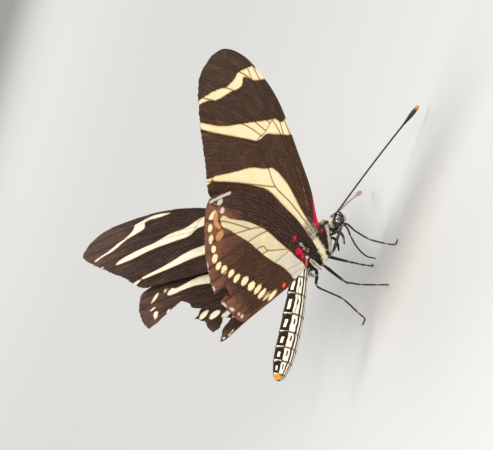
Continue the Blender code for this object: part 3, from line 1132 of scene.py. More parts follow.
@dataclass(frozen=True)
class WingMarks:
    """The markings of one wing's two surfaces, in its own millimetres, outwards and rearwards."""

    under: tuple[Mark, ...]
    upper: tuple[Mark, ...]
    red: tuple[Mark, ...] = ()
    coral: tuple[Mark, ...] = ()
    rust: tuple[Mark, ...] = ()
    white: tuple[Mark, ...] = ()

    def numbers(self, flat: Rows, upper: Rows) -> dict[str, Rows]:
        """The depth of each marking at each place.

        Args:
            flat: Places in the wing's plane.
            upper: 1 for a place on the upper surface, else 0.

        Returns:
            Depths in millimetres by the marking's name.
        """
        found = {"stripe": np.where(upper > 0.5, deepest(self.upper, flat), deepest(self.under, flat))}
        for name in ("red", "coral", "rust", "white"):
            found[name] = np.where(upper > 0.5, NEVER, deepest(getattr(self, name), flat))
        return found


@dataclass(frozen=True)
class BandTones:
    """Where the hindwing's ground and band change tone and painted shade darkens its front, in its own
    millimetres.

    A slanting edge has the place where it meets the hinge's line and its slope.
    """

    margin: Pair = (13.4, 16.0)
    margin_share: float = 0.9
    band_front: Pair = (2.9, 0.28)
    band_rear: Pair = (9.0, 0.09)
    band_slants_from: float = 5.0
    band_edge: float = 0.3
    grey: Pair = (1.0, 9.0)
    # The painted shade over the hindwing's front part fades in across these distances ahead of the band's
    # front line.
    dusk: Pair = (-0.4, 0.8)

    def numbers(self, flat: Rows, upper: Rows, rim: Rows) -> dict[str, Rows]:
        """The tones at each place.

        Args:
            flat: Places in the wing's plane.
            upper: 1 for a place on the upper surface, else 0.
            rim: How much of the margin's tone each has from its rim alone.

        Returns:
            Shares from 0 to 1 by the tone's name.
        """
        u, v = flat.T
        rear = self.band_rear[0] + self.band_rear[1] * np.maximum(u - self.band_slants_from, 0.0)
        dull = eased(rear - v, -self.band_edge, self.band_edge)
        ahead = self.band_front[0] + self.band_front[1] * u - v
        return {
            "rim": np.maximum(rim, eased(v, *self.margin) * self.margin_share),
            "dull": dull,
            "grey": eased(-u, -self.grey[1], -self.grey[0]) * dull,
            # Painted shade over the front part of the underside.
            "dusk": eased(ahead, *self.dusk) * (upper < 0.5),
        }


@dataclass(frozen=True)
class WingPlan:
    """The outline, veins and build of one kind of wing, in its own millimetres."""

    kind: str
    front: Points
    rear: Points
    veins: tuple[Points, ...]
    back: float
    below: float
    rim_from: float
    rows: int
    columns: int
    fan: Pair
    fan_from: Pair
    fan_reach: float
    hair_row: float
    hair_white: float
    hair_count: int
    tones: BandTones | None = None
    arch: float = 0.9
    arch_peak: float = 18.0
    grown: Pair = (1.0, 6.0)
    membrane: float = 0.07
    inset: float = 0.12
    worn: float = 0.17
    worn_from: Pair = (5.0, 9.0)
    vein_root: float = 0.15
    vein_tip: float = 0.05
    vein_tapering: float = 0.6
    pleat: float = 0.07
    pleat_half: float = 1.1
    wave: float = 0.07
    wave_turns: Pair = (0.22, 0.9)

    def outline(self) -> Rows:
        """The whole outline as a smooth closed line."""
        return smooth(list(self.front) + list(self.rear)[::-1][1:], per_span=6, closed=True)

    def vein_gap(self, flat: Rows) -> Rows:
        """How far each place is from the nearest vein."""
        return np.min([gap_to(flat, smooth(vein, per_span=5)) for vein in self.veins], axis=0)

    def middle(self, flat: Rows, gap: Rows) -> Rows:
        """The wing's middle surface: an arch, a slow wave, and a sag between veins.

        Args:
            flat: Places in the wing's plane.
            gap: How far each is from the nearest vein.

        Returns:
            Heights over the plane.
        """
        u, v = flat.T
        arched = self.arch * (1.0 - ((u - self.arch_peak) / self.arch_peak) ** 2)
        grown = eased(u, *self.grown)
        wavy = self.wave * np.sin(self.wave_turns[1] * v + self.wave_turns[0] * u) * grown
        return arched + wavy - self.pleat * eased(gap, 0.0, self.pleat_half) * grown


@dataclass
class Wing:
    """One wing: a thin sheet with raised veins, a fringe of scales at its rim and hair at its root."""

    plan: WingPlan
    marks: WingMarks
    side: Side
    stance: Stance
    tears: tuple[Points, ...] = ()
    tooth: float = 0.09
    tooth_step: float = 0.55
    wear_shift: float = 1.7
    wear_middle: float = 0.45
    wear_slow: Triple = (0.40, 2.1, 0.9)
    wear_quick: Pair = (0.35, 6.7)
    vein_steps: int = 6
    vein_sides: int = 6
    vein_margin: float = 0.16
    rim_spread: float = 12.0
    rim_edge: float = 0.5
    rim_edge_share: float = 0.8
    upper_shift: float = 40.0
    map_shift: float = 10.0
    map_size: float = 60.0
    fringe_step: float = 0.075
    fringe_from: float = 2.6
    fringe_sunk: float = 0.16
    fringe_pale: float = 0.35
    fringe_length: Pair = (0.12, 0.27)
    fringe_width: Pair = (0.07, 0.11)
    hair_length: Pair = (0.45, 0.85)
    hair_width: Pair = (0.06, 0.10)
    hair_lift: float = 0.30
    hair_out: Triple = (0.25, 3.4, 1.6)
    hair_aside: Pair = (0.42, 0.25)
    hair_front: float = -0.7
    hair_margin: float = 0.1
    stray: float = 0.16

    def __post_init__(self) -> None:
        """Place the wing, and give its tears their teeth."""
        self.name = f"{self.plan.kind}_{self.side.word}"
        self.frame = self.stance.wing(self.side, self.plan.back, self.plan.below)
        self.ragged_tears = [self.ragged(tear) for tear in self.tears]

    def ragged(self, tear: Points) -> Rows:
        """Cut small teeth along a tear's long edges.

        Args:
            tear: The tear's outline.

        Returns:
            The outline with its teeth.
        """
        line = []
        knots = np.asarray(tear, float)
        for a, b in zip(knots, np.roll(knots, -1, axis=0)):
            length = np.linalg.norm(b - a)
            steps = max(1, int(length / self.tooth_step))
            across = np.array([a[1] - b[1], b[0] - a[0]]) / length
            for step in range(steps):
                push = RANDOM.uniform(-self.tooth, self.tooth) if step else 0.0
                line.append(a + (b - a) * step / steps + across * push)
        return np.array(line)

    def torn(self, flat: Rows, margin: float) -> Rows:
        """Which places are torn away.

        Args:
            flat: Places in the wing's plane.
            margin: How close to a tear a place also counts.

        Returns:
            True for each place that is gone.
        """
        gone = np.zeros(len(flat), bool)
        for tear in self.ragged_tears:
            gone |= within(flat, tear) | (gap_to(flat, np.concatenate([tear, tear[:1]])) < margin)
        return gone

    def wear(self, u: Rows) -> Rows:
        """How far the rear margin is worn back.

        Args:
            u: Places outwards.

        Returns:
            Millimetres at each place, in uneven waves that differ between left and right.
        """
        turn = u + self.wear_shift * self.side.value
        most, first, second = self.wear_slow
        slow = most * np.sin(first * turn) * np.sin(second * turn)
        wave = self.wear_middle + slow + self.wear_quick[0] * np.sin(self.wear_quick[1] * turn)
        return self.plan.worn * np.clip(wave, 0.0, 1.0) * eased(u, *self.plan.worn_from)

    def lattice(self) -> Mesh:
        """A flat closed sheet of the wing's outline, before its tears.

        Returns:
            The sheet, one millimetre thick.
        """
        plan = self.plan
        builder, shares = sheet_grid(plan.rows, plan.columns)
        front, rear = smooth(plan.front), smooth(plan.rear)
        closer_at_ends = 0.5 - 0.5 * np.cos(math.pi * shares[:, 0])
        share = 0.45 * shares[:, 0] + 0.55 * closer_at_ends
        u = front[0, 0] + share * (front[-1, 0] - front[0, 0] - plan.inset)
        near = np.interp(u, front[:, 0], front[:, 1]) + plan.inset
        far = np.interp(u, rear[:, 0], rear[:, 1]) - plan.inset - self.wear(u)
        far = np.maximum(far, near + LEAST_WIDTH)
        v = near + (far - near) * shares[:, 1]
        bend_to(builder, np.stack([u, v, np.full(len(u), -0.5)], 1))
        thicken(builder, builder.faces[:], 1.0)
        return mesh_of(builder, "lattice")

    def tear_away(self, mesh: Mesh) -> Mesh:
        """Cut the tears out of the sheet.

        Args:
            mesh: The whole sheet.

        Returns:
            The torn one.
        """
        for tear in self.ragged_tears:
            builder = bmesh.new()
            face = builder.faces.new([builder.verts.new((u, v, -2.0)) for u, v in tear])
            thicken(builder, [face], 4.0)
            cutter = bpy.data.objects.new("tear", mesh_of(builder, "tear"))
            sheet = bpy.data.objects.new("torn_sheet", mesh)
            for thing in (cutter, sheet):
                bpy.context.scene.collection.objects.link(thing)
            knife = sheet.modifiers.new("tear", "BOOLEAN")
            knife.operation = "DIFFERENCE"
            knife.object = cutter
            bpy.context.view_layer.update()
            graph = bpy.context.evaluated_depsgraph_get()
            mesh = bpy.data.meshes.new_from_object(sheet.evaluated_get(graph))
            bpy.data.objects.remove(cutter)
            bpy.data.objects.remove(sheet)
        return mesh

    def vein_meshes(self) -> list[Mesh]:
        """The veins as tapering tubes in the wing's plane.

        Returns:
            One mesh for each unbroken stretch of vein.
        """
        made = []
        plan = self.plan
        rim = plan.outline()
        for vein in plan.veins:
            line = smooth(vein, self.vein_steps)
            keep = within(line, rim) & (gap_to(line, rim) > self.vein_margin) & ~self.torn(line, plan.inset)
            runs = np.split(np.arange(len(line)), np.flatnonzero(np.diff(keep.astype(int))) + 1)
            for run in runs:
                if len(run) < 4 or not keep[run[0]]:
                    continue
                part = line[run]
                share = np.clip(part[:, 0] / plan.front[-1][0], 0.0, 1.0) ** plan.vein_tapering
                radii = plan.vein_root + (plan.vein_tip - plan.vein_root) * share
                path = np.column_stack([part, plan.middle(part, np.zeros(len(part)))])
                made.append(tube_mesh("vein", path, radii, self.vein_sides))
        return made

    def numbers(self, flat: Rows, gap: Rows, upper: Rows) -> dict[str, Rows]:
        """What the finish reads at each place of the sheet.

        Args:
            flat: Places in the wing's plane.
            gap: How far each is from the nearest vein.
            upper: 1 for a place on the upper surface, else 0.

        Returns:
            Numbers and places by name.
        """
        plan = self.plan
        kept = self.marks.numbers(flat, upper)
        tipwards = eased(flat[:, 0] + 0.5 * flat[:, 1], plan.rim_from, plan.rim_from + self.rim_spread)
        at_rim = eased(-gap_to(flat, plan.outline()), -self.rim_edge, 0.0) * self.rim_edge_share
        none = np.zeros(len(flat))
        kept.update({"rim": np.maximum(tipwards, at_rim), "dull": none, "grey": none, "dusk": none})
        if plan.tones:
            kept.update(plan.tones.numbers(flat, upper, kept["rim"]))
        away = flat - np.array(plan.fan)
        reach, turn = np.hypot(*away.T), np.arctan2(away[:, 1], away[:, 0])
        shift = upper * self.upper_shift
        kept["vein"] = gap
        kept["upper"] = upper
        kept["outer"] = eased(flat[:, 0], *plan.fan_from)
        kept["inner_place"] = np.column_stack([flat, shift])
        kept["outer_place"] = np.column_stack([reach, turn * plan.fan_reach, shift])
        return kept

    def make_sheet(self, material: Material) -> None:
        """Make the membrane with its veins, as one piece.

        Args:
            material: The wing's finish.
        """
        mesh = self.tear_away(self.lattice())
        points = points_of(mesh)
        gap = self.plan.vein_gap(points[:, :2])
        upper = (points[:, 2] > 0).astype(float)
        points[:, 2] = self.plan.middle(points[:, :2], gap) + (upper - 0.5) * self.plan.membrane
        put_points(mesh, points)
        mesh = joined("sheet", [mesh, *self.vein_meshes()])
        veins = points_of(mesh)[len(points):]
        on_vein = np.zeros(len(veins))
        gap = np.concatenate([gap, on_vein])
        upper = np.concatenate([upper, (veins[:, 2] > self.plan.middle(veins[:, :2], on_vein)).astype(float)])
        mesh.attributes.remove(mesh.attributes["along"])
        keep_numbers(mesh, self.numbers(points_of(mesh)[:, :2], gap, upper))
        finish_piece(f"{self.name}_scaled", mesh, self.frame, material, [self.name])

    def rim_places(self) -> tuple[Rows, Rows]:
        """Even places along the rim that isn't torn away.

        Returns:
            The places and the directions that point out of the wing there.
        """
        rim = self.plan.outline()
        rim = np.concatenate([rim, rim[:1]])
        length = np.linalg.norm(np.diff(rim, axis=0), axis=1).sum()
        flat = read_table(np.arange(0.0, length, self.fringe_step) / length, along_path(rim), rim)
        ahead = np.roll(flat, -1, axis=0) - np.roll(flat, 1, axis=0)
        out = unit_rows(np.stack([ahead[:, 1], -ahead[:, 0]], 1))
        out *= np.sign(((flat - flat.mean(axis=0)) * out).sum())
        keep = (flat[:, 0] > self.fringe_from) & ~self.torn(flat, 0.05)
        return flat[keep], out[keep]

    def make_fringe(self, material: Material) -> None:
        """Make the short scales that stand out from the rim.

        Args:
            material: The wing's finish.
        """
        plan = self.plan
        flat, out = self.rim_places()
        count = len(flat)
        roots = flat - out * (plan.inset + self.fringe_sunk)
        gap = plan.vein_gap(roots)
        ways = out + RANDOM.normal(0.0, self.stray, (count, 2))
        upper = (RANDOM.random(count) > 0.5).astype(float)
        kept = self.numbers(roots, gap, upper)
        kept["rim"] = np.minimum(1.0, kept["rim"] + self.fringe_pale)
        shortened = 1.0 - 0.6 * self.wear(flat[:, 0]) / plan.worn
        tufts = Tufts(
            roots=np.column_stack([roots, plan.middle(roots, gap)]),
            normals=np.tile((0.0, 0.0, 1.0), (count, 1)),
            ways=np.column_stack([ways, np.zeros(count)]),
            lengths=RANDOM.uniform(*self.fringe_length, count) * shortened,
            widths=RANDOM.uniform(*self.fringe_width, count),
            spread=(roots + self.map_shift) / self.map_size,
            marks=kept,
            lift=0.02,
        )
        finish_piece(f"{self.name}_fringe", tufts.mesh("fringe"), self.frame, material)

    def make_root_hair(self, material: Material) -> None:
        """Make the long soft hair, pale and dark mixed, over the root of the wing's underside.

        Args:
            material: The hair's finish.
        """
        plan = self.plan
        nearest, reach, crowding = self.hair_out
        out = nearest + reach * RANDOM.random(plan.hair_count) ** crowding
        spread, fanning = self.hair_aside
        aside = plan.hair_row + RANDOM.normal(0.0, spread, plan.hair_count) * (1.0 + fanning * out)
        flat = np.column_stack([out, aside])
        kept = within(flat, plan.outline()) & ~self.torn(flat, self.hair_margin)
        flat = flat[kept & (aside > self.hair_front)]
        count = len(flat)
        kind = RANDOM.random(count)
        white, cream = kind < plan.hair_white, kind > 1.0 - 0.2 * plan.hair_white
        slant = 0.16 * flat[:, 1] + RANDOM.normal(0.0, self.stray, count)
        tufts = Tufts(
            roots=np.column_stack([flat, plan.middle(flat, plan.vein_gap(flat)) - 0.05]),
            normals=np.tile((0.0, 0.0, -1.0), (count, 1)),
            ways=np.column_stack([np.ones(count), slant, np.zeros(count)]),
            lengths=RANDOM.uniform(*self.hair_length, count),
            widths=RANDOM.uniform(*self.hair_width, count),
            spread=(flat + self.map_shift) / self.map_size,
            marks=marked(count, ("red", "orange", "dark"), white=white, cream=cream),
            lift=self.hair_lift,
        )
        finish_piece(f"{self.name}_root_hair", tufts.mesh("root_hair"), self.frame, material)


FOREWING = WingPlan(
    kind="forewing",
    front=[
        (-1.2, -0.8), (2.4, -1.8), (7.0, -3.5), (13.4, -4.8), (21.6, -6.1), (27.5, -6.2), (33.6, -5.3),
        (38.2, -3.9), (41.5, -2.0), (43.1, 0.5),
    ],
    rear=[
        (-1.2, 0.9), (3.0, 2.5), (8.0, 4.8), (15.0, 7.6), (21.0, 10.2), (24.0, 11.2), (26.6, 10.4),
        (29.5, 9.1), (33.6, 7.7), (37.3, 6.3), (40.8, 4.8), (42.8, 3.1), (43.1, 0.5),
    ],
    veins=(
        [(0.6, -0.6), (8.0, -3.3), (16.0, -4.9), (25.5, -6.0)],
        [(0.6, -0.2), (8.0, -2.4), (16.0, -3.7), (22.5, -3.9), (30.6, -3.8), (34.8, -2.8), (42.6, 1.0)],
        [(16.0, -3.7), (22.0, -4.9), (29.0, -5.8)],
        [(22.5, -3.9), (29.0, -5.0), (33.5, -5.0)],
        [(30.6, -3.8), (36.0, -4.0), (40.0, -2.6)],
        [(0.6, 0.1), (8.2, 0.5), (13.4, 1.3), (17.4, 0.7), (22.5, 0.1), (22.3, -1.8), (22.5, -3.9)],
        [(22.4, -3.2), (31.0, -1.6), (42.0, 3.8)],
        [(22.3, -2.0), (31.0, 0.6), (39.8, 5.2)],
        [(22.4, -1.0), (28.0, 1.0), (37.3, 6.2)],
        [(22.5, 0.1), (28.1, 3.4), (34.6, 7.2)],
        [(13.4, 1.3), (19.5, 5.4), (26.4, 10.2)],
        [(0.6, 0.5), (8.0, 3.6), (16.0, 7.4), (22.8, 10.8)],
    ),
    back=0.0,
    below=0.0,
    rim_from=30.0,
    rows=230,
    columns=66,
    fan=(13.0, -7.0),
    fan_from=(15.0, 25.0),
    fan_reach=17.0,
    hair_row=0.45,
    hair_white=0.7,
    hair_count=340,
)
HIND_FRONT = [(-0.8, -0.3), (2.4, -0.4), (7.5, -0.2), (12.7, 1.1), (19.7, 4.4), (23.4, 7.2), (25.4, 10.0)]
LEFT_HIND_FRONT = [
    (-0.8, -0.3), (2.4, -0.4), (7.5, -0.2), (12.7, 1.0), (19.5, 3.6), (23.6, 6.2), (25.3, 9.0),
]
HIND_REAR = [
    (-0.8, 2.0), (-0.4, 3.0), (-0.1, 5.0), (0.3, 7.4), (1.6, 10.7), (3.2, 14.4), (3.9, 16.2),
    (6.6, 17.0), (10.4, 17.4), (12.4, 17.5), (15.8, 16.5), (19.6, 15.0), (23.9, 12.3), (25.4, 10.0),
]
LEFT_HIND_REAR = [
    (-0.8, 2.0), (-0.4, 3.0), (0.0, 5.2), (1.2, 8.6), (2.9, 12.4), (4.0, 15.8), (5.1, 17.4),
    (8.5, 17.9), (14.0, 17.6), (19.2, 16.2), (22.0, 14.2), (24.0, 11.9), (25.3, 9.0),
]
HIND_VEINS = (
    [(0.6, 0.3), (8.0, 1.1), (16.0, 3.4), (23.2, 7.8)],
    [(0.6, 1.0), (8.0, 2.9), (12.2, 5.3), (16.0, 9.1), (19.4, 13.2)],
    [(8.0, 2.9), (15.0, 4.6), (24.4, 10.1)],
    [(14.0, 6.9), (19.0, 9.4), (23.2, 12.2)],
    [(10.2, 4.0), (12.8, 8.2), (16.4, 15.6)],
    [(0.4, 1.5), (4.6, 3.5), (8.1, 6.4), (10.2, 7.5), (14.2, 16.4)],
    [(8.1, 6.4), (10.6, 11.2), (12.2, 16.8)],
    [(4.6, 3.5), (5.6, 7.0), (7.4, 11.4), (9.6, 16.4)],
    [(0.6, 2.4), (3.4, 7.4), (6.2, 16.4)],
    [(0.0, 3.0), (2.0, 7.4), (4.6, 15.6)],
)
HIND_BUILD = (
    HIND_VEINS, 2.0, 1.2, 16.0, 160, 110, (-2.0, 0.0), (-3.0, -2.0), 14.0, 0.6, 0.0, 70, BandTones(),
)
HINDWING = WingPlan("hindwing", HIND_FRONT, HIND_REAR, *HIND_BUILD)
LEFT_HINDWING = WingPlan("hindwing", LEFT_HIND_FRONT, LEFT_HIND_REAR, *HIND_BUILD)
RIGHT_SLIT = [
    (12.4, 17.5), (11.4, 15.1), (8.7, 15.4), (10.2, 15.9), (10.4, 17.2), (10.4, 19.0), (12.4, 19.0),
]
LEFT_TEAR = [
    (19.15, 16.1), (16.7, 10.2), (15.1, 10.5), (14.0, 11.4), (12.1, 11.4), (12.1, 13.6), (10.0, 13.8),
    (9.0, 14.8), (7.4, 15.7), (6.7, 14.8), (7.3, 12.6), (6.0, 12.6), (5.9, 15.4), (5.1, 17.3),
    (5.0, 19.5), (19.4, 19.5),
]

BASAL_STRIPE = Patch([
    (0.6, 0.0), (5.0, -0.2), (8.0, -0.4), (10.8, -0.6), (14.0, -0.4), (16.2, 0.1), (17.1, 0.8),
    (18.0, 1.5), (19.5, 2.5), (20.8, 3.6), (22.0, 4.9), (23.6, 6.5), (25.3, 8.2), (25.9, 9.0),
    (25.2, 9.2), (23.0, 7.6), (20.0, 5.6), (17.0, 3.9), (15.2, 2.9), (13.5, 2.4), (11.5, 2.1),
    (8.0, 1.6), (5.0, 1.2), (0.6, 0.9),
])
MIDDLE_STRIPE = Patch([
    (16.3, -6.3), (18.2, -6.5), (20.2, -6.5), (20.5, -5.0), (22.1, -4.3), (23.0, -3.4), (24.0, -2.5),
    (25.6, -1.1), (27.6, 0.8), (28.8, 1.9), (30.0, 3.0), (32.0, 4.5), (34.0, 5.7), (36.1, 7.0),
    (36.0, 7.4), (34.0, 6.8), (32.0, 5.7), (30.0, 4.5), (28.2, 3.4), (26.0, 2.1), (24.2, 1.0),
    (22.9, 0.2), (22.3, -0.7), (21.8, -1.9), (20.4, -2.9), (19.0, -3.9), (17.8, -4.8),
])
APEX_STRIPE = Patch([
    (28.8, -6.8), (31.8, -6.7), (32.5, -5.4), (33.6, -4.9), (34.4, -4.0), (35.3, -2.8), (35.5, -2.1),
    (35.3, -1.2), (35.6, 0.4), (36.6, 1.4), (37.8, 2.8), (38.3, 3.8), (39.2, 5.8), (38.6, 5.7),
    (38.0, 4.9), (37.2, 3.9), (36.2, 3.2), (35.4, 2.2), (34.2, 0.2), (33.4, -0.9), (33.1, -1.9),
    (33.9, -2.8), (32.4, -3.6), (31.2, -4.3), (30.0, -5.3),
])
MARGIN_SPOT = Patch([(26.0, 9.3), (26.6, 9.9), (27.2, 10.4), (26.4, 10.8), (25.7, 9.9)])
UPPER_MIDDLE_STRIPE = Patch([
    (16.3, -6.0), (20.0, -6.0), (21.0, -4.8), (22.6, -3.8), (23.4, -2.9), (24.4, -1.8), (25.6, -1.2),
    (27.0, -0.3), (28.3, 1.4), (30.3, 2.6), (32.2, 3.8), (33.4, 5.0), (33.4, 5.9), (32.8, 6.0),
    (31.0, 4.9), (28.5, 3.2), (26.2, 2.0), (24.0, 0.8), (22.6, 0.0), (22.0, -1.5), (21.2, -2.2),
    (19.4, -3.6), (17.6, -4.7),
])
UPPER_APEX_STRIPE = Patch([
    (29.4, -5.1), (31.0, -5.1), (33.0, -4.7), (34.0, -4.2), (35.6, -3.0), (35.4, -2.3), (35.2, -1.6),
    (35.4, 0.0), (36.5, 1.5), (37.8, 3.2), (38.6, 4.4), (38.7, 5.0), (38.2, 5.0), (37.6, 4.0),
    (36.6, 3.0), (35.9, 2.0), (35.2, 0.8), (34.0, -0.4), (33.1, -1.8), (33.3, -2.6), (33.8, -3.5),
    (32.8, -3.9), (31.0, -4.4),
])
FOREWING_MARKS = WingMarks(
    under=(BASAL_STRIPE, MIDDLE_STRIPE, APEX_STRIPE, MARGIN_SPOT),
    upper=(BASAL_STRIPE, UPPER_MIDDLE_STRIPE, UPPER_APEX_STRIPE, MARGIN_SPOT,
           Spot((36.0, 6.7), (0.45, 0.25), 40.0), Spot((38.5, 6.0), (0.2, 0.4), -20.0)),
    red=(Patch([(0.6, -1.5), (2.4, -2.2), (4.2, -3.0), (6.4, -3.5), (4.8, -2.3), (3.0, -1.3), (1.5, -0.6)]),),
    # A painted highlight: a thin broken golden line of light along the costal vein's ridge.
    rust=(Stroke([(4.5, -1.2), (9.0, -2.6), (13.0, -3.6)], 0.005),),
)
HIND_BAND = Patch([
    (-1.0, 3.9), (-0.4, 3.2), (0.6, 3.0), (2.0, 3.3), (4.0, 3.6), (6.0, 4.0), (8.0, 4.4), (10.4, 4.8),
    (12.0, 5.3), (14.0, 6.0), (16.0, 7.0), (18.0, 8.2), (19.4, 9.0), (20.6, 9.4), (20.7, 10.0),
    (20.2, 10.3), (19.2, 10.4), (17.4, 9.7), (15.5, 9.2), (13.2, 8.4), (10.4, 7.8), (8.0, 7.3),
    (5.5, 6.6), (4.0, 6.1), (2.0, 5.7), (0.4, 5.6), (-0.7, 5.0),
])
UPPER_BAND = Patch([
    (-1.0, 3.6), (0.6, 2.8), (4.0, 3.0), (8.0, 3.6), (12.0, 3.8), (15.0, 4.6), (16.6, 5.3), (18.2, 6.6),
    (19.4, 7.6), (20.2, 7.7), (20.4, 8.6), (20.0, 9.2), (19.2, 9.0), (18.0, 7.9), (16.4, 7.0),
    (14.2, 6.5), (11.0, 6.4), (8.0, 6.2), (5.0, 5.6), (2.0, 5.0), (-0.8, 4.6),
])
HIND_DOTS = spots(
    (2.05, 9.9, 0.38, 1.05, -8), (3.0, 10.7, 0.33, 0.9, -8), (4.1, 11.1, 0.5, 0.95, -8),
    (5.4, 11.3, 0.52, 0.85, -6), (6.9, 11.8, 0.62, 0.76, -4), (8.6, 12.2, 0.64, 0.78, -4),
    (10.3, 13.0, 0.48, 0.74, 0), (11.8, 13.3, 0.6, 0.7, -20), (13.6, 13.9, 0.74, 0.64, 10),
    (15.2, 14.3, 0.55, 0.64, 0), (16.8, 14.2, 0.72, 0.62, -20), (18.2, 13.6, 0.6, 0.52, 0),
    (19.9, 13.1, 0.72, 0.55, -25), (21.5, 12.3, 0.58, 0.52, 0), (22.6, 10.9, 0.56, 0.82, 0),
)
HIND_PALE = spots(
    (23.0, 8.8, 0.55, 0.45, 30), (21.5, 9.2, 0.45, 0.42, 0), (4.7, 15.7, 0.28, 0.3, 0),
    (5.6, 15.9, 0.3, 0.2, 0), (7.5, 16.4, 0.6, 0.24, 18), (9.4, 17.0, 0.6, 0.22, 14),
    (13.2, 16.9, 0.4, 0.2, -10), (17.3, 15.8, 0.9, 0.22, -16), (20.4, 14.6, 0.6, 0.18, -24),
    (3.2, 1.55, 0.42, 0.2, 20), (2.1, 1.5, 0.26, 0.2, 0), (1.3, 1.2, 0.3, 0.24, 0),
    (0.6, 1.9, 0.34, 0.3, 30),
)
UPPER_DOTS = spots(
    (21.1, 8.2, 0.2, 0.42, 20), (22.0, 9.9, 0.3, 1.1, 6), (21.0, 12.1, 0.2, 0.5, -28),
    (19.7, 13.2, 0.36, 0.85, 32), (17.6, 12.6, 0.3, 0.6, 20), (9.1, 12.4, 0.68, 1.05, -6),
    (10.9, 12.65, 0.5, 0.98, -6), (12.3, 12.9, 0.42, 0.85, -4), (13.9, 13.5, 0.4, 0.7, 0),
    (15.7, 13.6, 0.4, 0.65, 0), (7.2, 12.0, 0.55, 0.95, -8), (5.6, 11.6, 0.45, 0.9, -8),
    (4.3, 11.2, 0.35, 0.8, -8), (4.2, 15.1, 0.2, 0.26, 0), (4.3, 15.9, 0.24, 0.2, 0),
    (4.9, 16.6, 0.24, 0.22, 0),
)
HINDWING_MARKS = WingMarks(
    under=(HIND_BAND, *HIND_DOTS),
    upper=(UPPER_BAND, *UPPER_DOTS),
    red=spots((5.0, 1.9, 0.42, 0.42, 0), (2.75, 2.5, 0.78, 0.5, 24), (1.5, 2.4, 0.5, 0.38, -20)),
    coral=(Stroke([(-0.7, 3.0), (0.4, 2.25)], 0.2), Spot((1.2, 7.5), (0.34, 0.38), 30.0)),
    rust=(
        Patch([(19.4, 10.9), (21.0, 10.5), (22.3, 9.9), (22.3, 10.9), (20.8, 11.4)]),
        Spot((18.7, 11.6), (0.72, 0.85), -20.0),
    ),
    white=(Stroke([(22.5, 6.8), (23.7, 8.5), (24.7, 10.1)], 0.22), *HIND_PALE),
)


